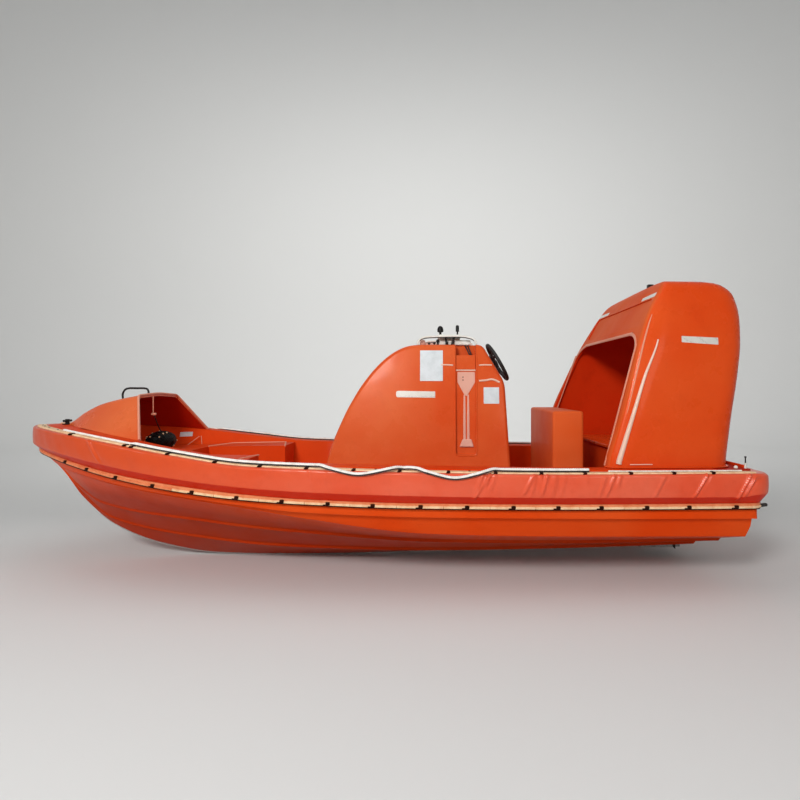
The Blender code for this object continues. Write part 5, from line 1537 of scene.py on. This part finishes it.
def build_wheel():
    """The steering wheel: a padded rim, a thick hub plate and three spokes with a slot in each, in the plane
    of the sloping dash."""
    dash = np.array([DASH[0], 0.0, DASH[1]])
    axis = np.array([-dash[2], 0.0, dash[0]]) / np.hypot(dash[0], dash[2])
    across = np.array([0.0, 1.0, 0.0])
    basis = np.stack([across, np.cross(axis, across), axis])
    around = np.linspace(0, 2 * math.pi, 97)
    ring = np.stack([np.cos(around), np.sin(around), 0 * around], axis=1) * (WHEEL_RADIUS - RIM_RADIUS)
    rim = tube_rings(np.vstack([ring[:-1], ring[:1]]), RIM_RADIUS, 14)
    rim[0] = rim[-1] = (rim[0] + rim[-1]) / 2
    turn = np.linspace(0, 2 * math.pi, 30, endpoint=False)
    hub = np.stack([np.stack([r * np.cos(turn), r * np.sin(turn), 0 * turn + h], axis=1)
                    for r, h in ((0.040, -0.050), (0.046, -0.044), (0.050, -0.018), (0.044, -0.006),
                                 (0.020, 0.0))])
    parts = [rim, hub]
    for angle in np.radians((90, 210, 330)):
        for shift in (-0.020, 0.020):
            way = np.array([math.cos(angle), math.sin(angle), 0.0])
            beside = np.array([-way[1], way[0], 0.0]) * shift
            reach = np.linspace(0.035, WHEEL_RADIUS - 0.018, 9)
            path = np.array([way * r + beside * (1.25 - 0.5 * t) + [0, 0, -0.030 + 0.028 * t * t]
                             for t, r in zip(np.linspace(0, 1, 9), reach)])
            parts.append(tube_rings(path, 0.0085, 10))
    joined("wheel", [rings @ basis + WHEEL_CENTRE for rings in parts], black_rubber, body="steering_wheel",
           replaces=("steering_wheel",))


def hood_rings(levels, inset):
    """Levels of the hood as rounded six-cornered rings."""
    z, port_x, starboard_x, corner_x, aft_x, rim_half, side_half, aft_half = np.asarray(levels).T
    half = np.stack([
        np.stack([port_x - inset, rim_half - inset, z], axis=1),
        np.stack([corner_x - inset, side_half - inset, z], axis=1),
        np.stack([aft_x + inset, aft_half - inset, z], axis=1),
    ], axis=1)
    ring = with_mirror(half)
    ring[:, -1, 0] = starboard_x - inset
    return rounded(ring, (0.03, 0.06, 0.16, 0.16, 0.06, 0.03), 6)


def opening_outline():
    """Half of the hood's opening: half-width and height from the foot up to the middle of the top."""
    turn = np.linspace(0, math.pi / 2, 12)
    low = [(OPENING_LOW_HALF, 0.3)]
    wide, high = OPENING_CORNER
    arc = np.stack([OPENING_TOP_HALF - wide * (1 - np.cos(turn)), OPENING_TOP - high * (1 - np.sin(turn))],
                   axis=1)
    return np.vstack([low, arc])


def hood_side_y(x, z):
    """Half-width of the hood's side at x and z."""
    rows = smooth_rows(HOOD_LEVELS, z)
    corner_x, aft_x, side_half, aft_half = (rows[:, k] for k in (2, 3, 5, 6))
    return side_half + (x - corner_x) / (aft_x - corner_x) * (aft_half - side_half)


def on_side(y_of, sign):
    """Points on a side surface from x, z and a height off it."""
    return lambda x, z, lift: np.stack([x, sign * (y_of(x, z) + lift), z], axis=1)


def on_hood_front(y, z, lift):
    """Points on the front face of the hood from y, z and a height off it."""
    rows = smooth_rows(HOOD_LEVELS, z)
    share = (y / rows[:, 4] + 1) / 2
    x = rows[:, 1] + share * (rows[:, 0] - rows[:, 1])
    return np.stack([x + 0.9 * lift, y, z + 0.43 * lift], axis=1)


def plate_rings(outline, place, thick, radius=0.004, bevel=0.001, sunk=0.002):
    """A thin plate on a surface: rings of its outline from below the surface up to its bevelled top.
    `place` gives the point at two surface coordinates and a height."""
    outline = rounded(np.array(outline, float), radius, 4)
    steps = ((0.0, -sunk), (0.0, thick - bevel), (bevel, thick))
    return np.stack([place(*inset_outline(outline, inset).T, lift) for inset, lift in steps])


def build_hood():
    z = np.concatenate([np.linspace(0.505, 1.74, 30), np.linspace(1.77, HOOD_LEVELS[-1][0], 12)])
    rows = np.concatenate([z[:, None], smooth_rows(HOOD_LEVELS, z)], axis=1)
    rings = hood_rings(rows, 0.0)
    rings[0, :, 2] = deck_height(rings[0, :, 0]) + GAP
    hood = loft("hood_moulding", rings, orange_gelcoat, replaces=("hood",))
    inner = rows[rows[:, 0] < 1.862].copy()
    inner[0, 0] = 0.3
    rings = hood_rings(inner, HOOD_WALL)
    rings[-1, :, 2] -= 0.004
    carve(hood, "hood_space", rings)
    half = opening_outline()
    ring = np.concatenate([half, half[::-1] * [-1, 1]])
    rings = np.array([np.insert(ring, 0, x, axis=1) for x in (-1.5, -2.45)])
    carve(hood, "hood_opening", rings)
    panel = plate_rings(((0.72, 1.755), (0.69, 1.545), (-0.69, 1.545), (-0.72, 1.755)), on_hood_front, 0.1,
                        radius=0.05, sunk=0.009)
    carve(hood, "header_panel", panel)
    lip = np.concatenate([half[1:], half[:0:-1] * [-1, 1]])
    foot = float(deck_height(-1.85)[0]) + 0.012
    lip = np.vstack([[OPENING_LOW_HALF - 0.004, foot], lip, [0.004 - OPENING_LOW_HALF, foot]])
    lip_path = on_hood_front(lip[:, 0] + 0.006 * np.sign(lip[:, 0]), lip[:, 1], 0.002)
    turn = np.linspace(0, 2 * math.pi, 16, endpoint=False)
    section = np.stack([np.cos(turn), 0.5 * np.sin(turn)], axis=1)
    rim_z = np.linspace(0.53, 1.80, 40)
    rim = smooth_rows(HOOD_LEVELS, rim_z)
    beads, edges = [], []
    for sign, column in ((1, 0), (-1, 1)):
        path = np.stack([rim[:, column] - 0.034, sign * (rim[:, 4] + 0.002), rim_z], axis=1)
        beads.append(tube_rings(path, 0.008, 12))
        corner_z = np.linspace(0.49, 1.42, 40)
        corner = smooth_rows(HOOD_LEVELS, corner_z)
        radius = np.linspace(0.021, 0.006, 40)
        path = np.stack([corner[:, 2] + 0.022, sign * (corner[:, 5] - radius + 0.005), corner_z], axis=1)
        edges.append(tube_rings(path, radius, 20))
        x = np.linspace(-1.995, -2.165, 12)
        side_y = sign * (hood_side_y(x, 0 * x + 0.51) + 0.006)
        edges.append(tube_rings(np.stack([x, side_y, 0 * x + 0.488], axis=1), 0.0035, 10))
    # Pale beads along the front rims and pale corner and foot edges: painted highlights.
    joined("hood_beads", beads, soft_highlight_gelcoat)
    joined("hood_edges", edges, bright_highlight_gelcoat)
    # The opening's pale lip: painted highlight.
    tube("hood_opening_lip", evenly(curve_through(lip_path, 4), 0.02), 0.013, soft_highlight_gelcoat, section=section)
    refinish(hood, satin_gelcoat, lambda centres, normals: normals[:, 0] > 0.6)
    # Faces inside the hood take the deeper gelcoat: painted shade.
    refinish(hood, hood_shade_gelcoat,
             lambda centres, normals: ((centres - [-2.4, 0, 1.0]) * normals).sum(axis=1) < 0)
    foot_ring = hood_rings(rows[:1], -0.006)[0]
    foot_ring[:, 2] = deck_height(foot_ring[:, 0]) + 0.007
    tube("hood_foot", foot_ring, 0.010, orange_gelcoat, section=section * [1.3, 1.2])
    block("roof_pad", (-2.66, -0.16, 1.892), (-2.50, 0.16, 1.926), 0.008, orange_gelcoat)
    bands = []
    for sign in (1, -1):
        bands.append(plate_rings(((-2.414, 1.448), (-2.414, 1.400), (-2.70, 1.383), (-2.70, 1.437)),
                                 on_side(hood_side_y, sign), 0.0012))
        bands.append(plate_rings(((0.44 * sign, 1.796), (0.44 * sign, 1.768), (0.73 * sign, 1.766),
                                  (0.73 * sign, 1.800)), on_hood_front, 0.0012, radius=0.01))
    joined("hood_tape", bands, tape)


def build_stern():
    """The aft side deck at the height of the moulded deck, painted darker as shade, the flag post with its
    socket, and a keel fin.
    """
    low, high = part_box("aft_deck")
    xs = np.linspace(low[0], high[0], 24)
    line, _ = side_line(4)
    order = np.argsort(line[:, 0])
    edge = np.interp(xs, line[order, 0], line[order, 1])
    deck_z = deck_height(xs)
    port = np.stack([np.stack([xs, edge, deck_z - SKIN], axis=1), np.stack([xs, edge, deck_z], axis=1)],
                    axis=1)
    loft("aft_deck_moulding", with_mirror(port), painted_shade_gelcoat, replaces=("aft_deck",))
    block("transom_coaming", (-2.895, -0.86, float(deck_z[0]) - 0.01),
          (-2.872, 0.86, float(deck_z[0]) + 0.018), 0.006, orange_inside)
    turned("line_stop", [(0.004, 0.0), (0.013, 0.005), (0.015, 0.013), (0.010, 0.022), (0.003, 0.026)],
           white_gelcoat, (-2.765, 0.965, float(deck_height(-2.765)[0]) + 0.004), sides=20)
    foot = float(deck_height(-2.87)[0])
    socket = [(0.010, 0.0), (0.010, 0.003), (0.0085, 0.005), (0.0085, 0.038), (0.003, 0.040)]
    turned("post_socket", socket, white_gelcoat, (-2.87, 0.90, foot), sides=24)
    post = [(0.005, 0.036), (0.005, 0.078), (0.008, 0.080), (0.008, 0.088), (0.002, 0.090)]
    turned("flag_post", post, black_nylon, (-2.87, 0.90, foot), sides=20, replaces=("stern_post",))
    outline = ((-2.712, -0.31), (-2.640, -0.31), (-2.665, -0.345), (-2.712, -0.392))
    fin = np.array([[(x, y, z) for x, z in rounded(np.array(outline), 0.004, 3)] for y in (-0.006, 0.006)])
    loft("keel_fin", fin, black_nylon)


def build_seat_and_casing():
    low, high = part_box("seat_box")
    block("seat_box_moulding", low, high, 0.022, satin_gelcoat, replaces=("seat_box",))


# Materials of the solids that show as they are
NODE_FINISHES = {
    "foredeck": orange_inside,
    "bench_port": orange_inside,
    "bench_starboard": orange_inside,
    "bow_locker": orange_inside,
    "engine_casing": orange_inside,
    "engine_hatch": orange_gelcoat,
    "engine": grey_enamel,
    "keel_band": steel,
    "intake_grille": cast_metal,
    "jet_housing": cast_metal,
    "steering_nozzle": cast_metal,
    "reverse_bucket": cast_metal,
    "steering_column": black_nylon,
    "cuddy_handrail": black_nylon,
    "bow_bollard": black_nylon,
    "console_shelf": white_gelcoat,
    "hood_light": black_nylon,
}


def finish_nodes():
    for name, finish in NODE_FINISHES.items():
        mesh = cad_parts[name].data
        mesh.materials.clear()
        mesh.materials.append(finish)


build_camera()
build_floor()
build_lights()
build_ropes()
build_hull()
build_cockpit()
build_fenders()
build_strips()
build_cuddy()
build_net()
build_cuddy_fittings()
build_liner_details()
build_bench_edges()
build_console()
build_helm()
build_wheel()
build_hood()
build_stern()
build_seat_and_casing()
finish_nodes()
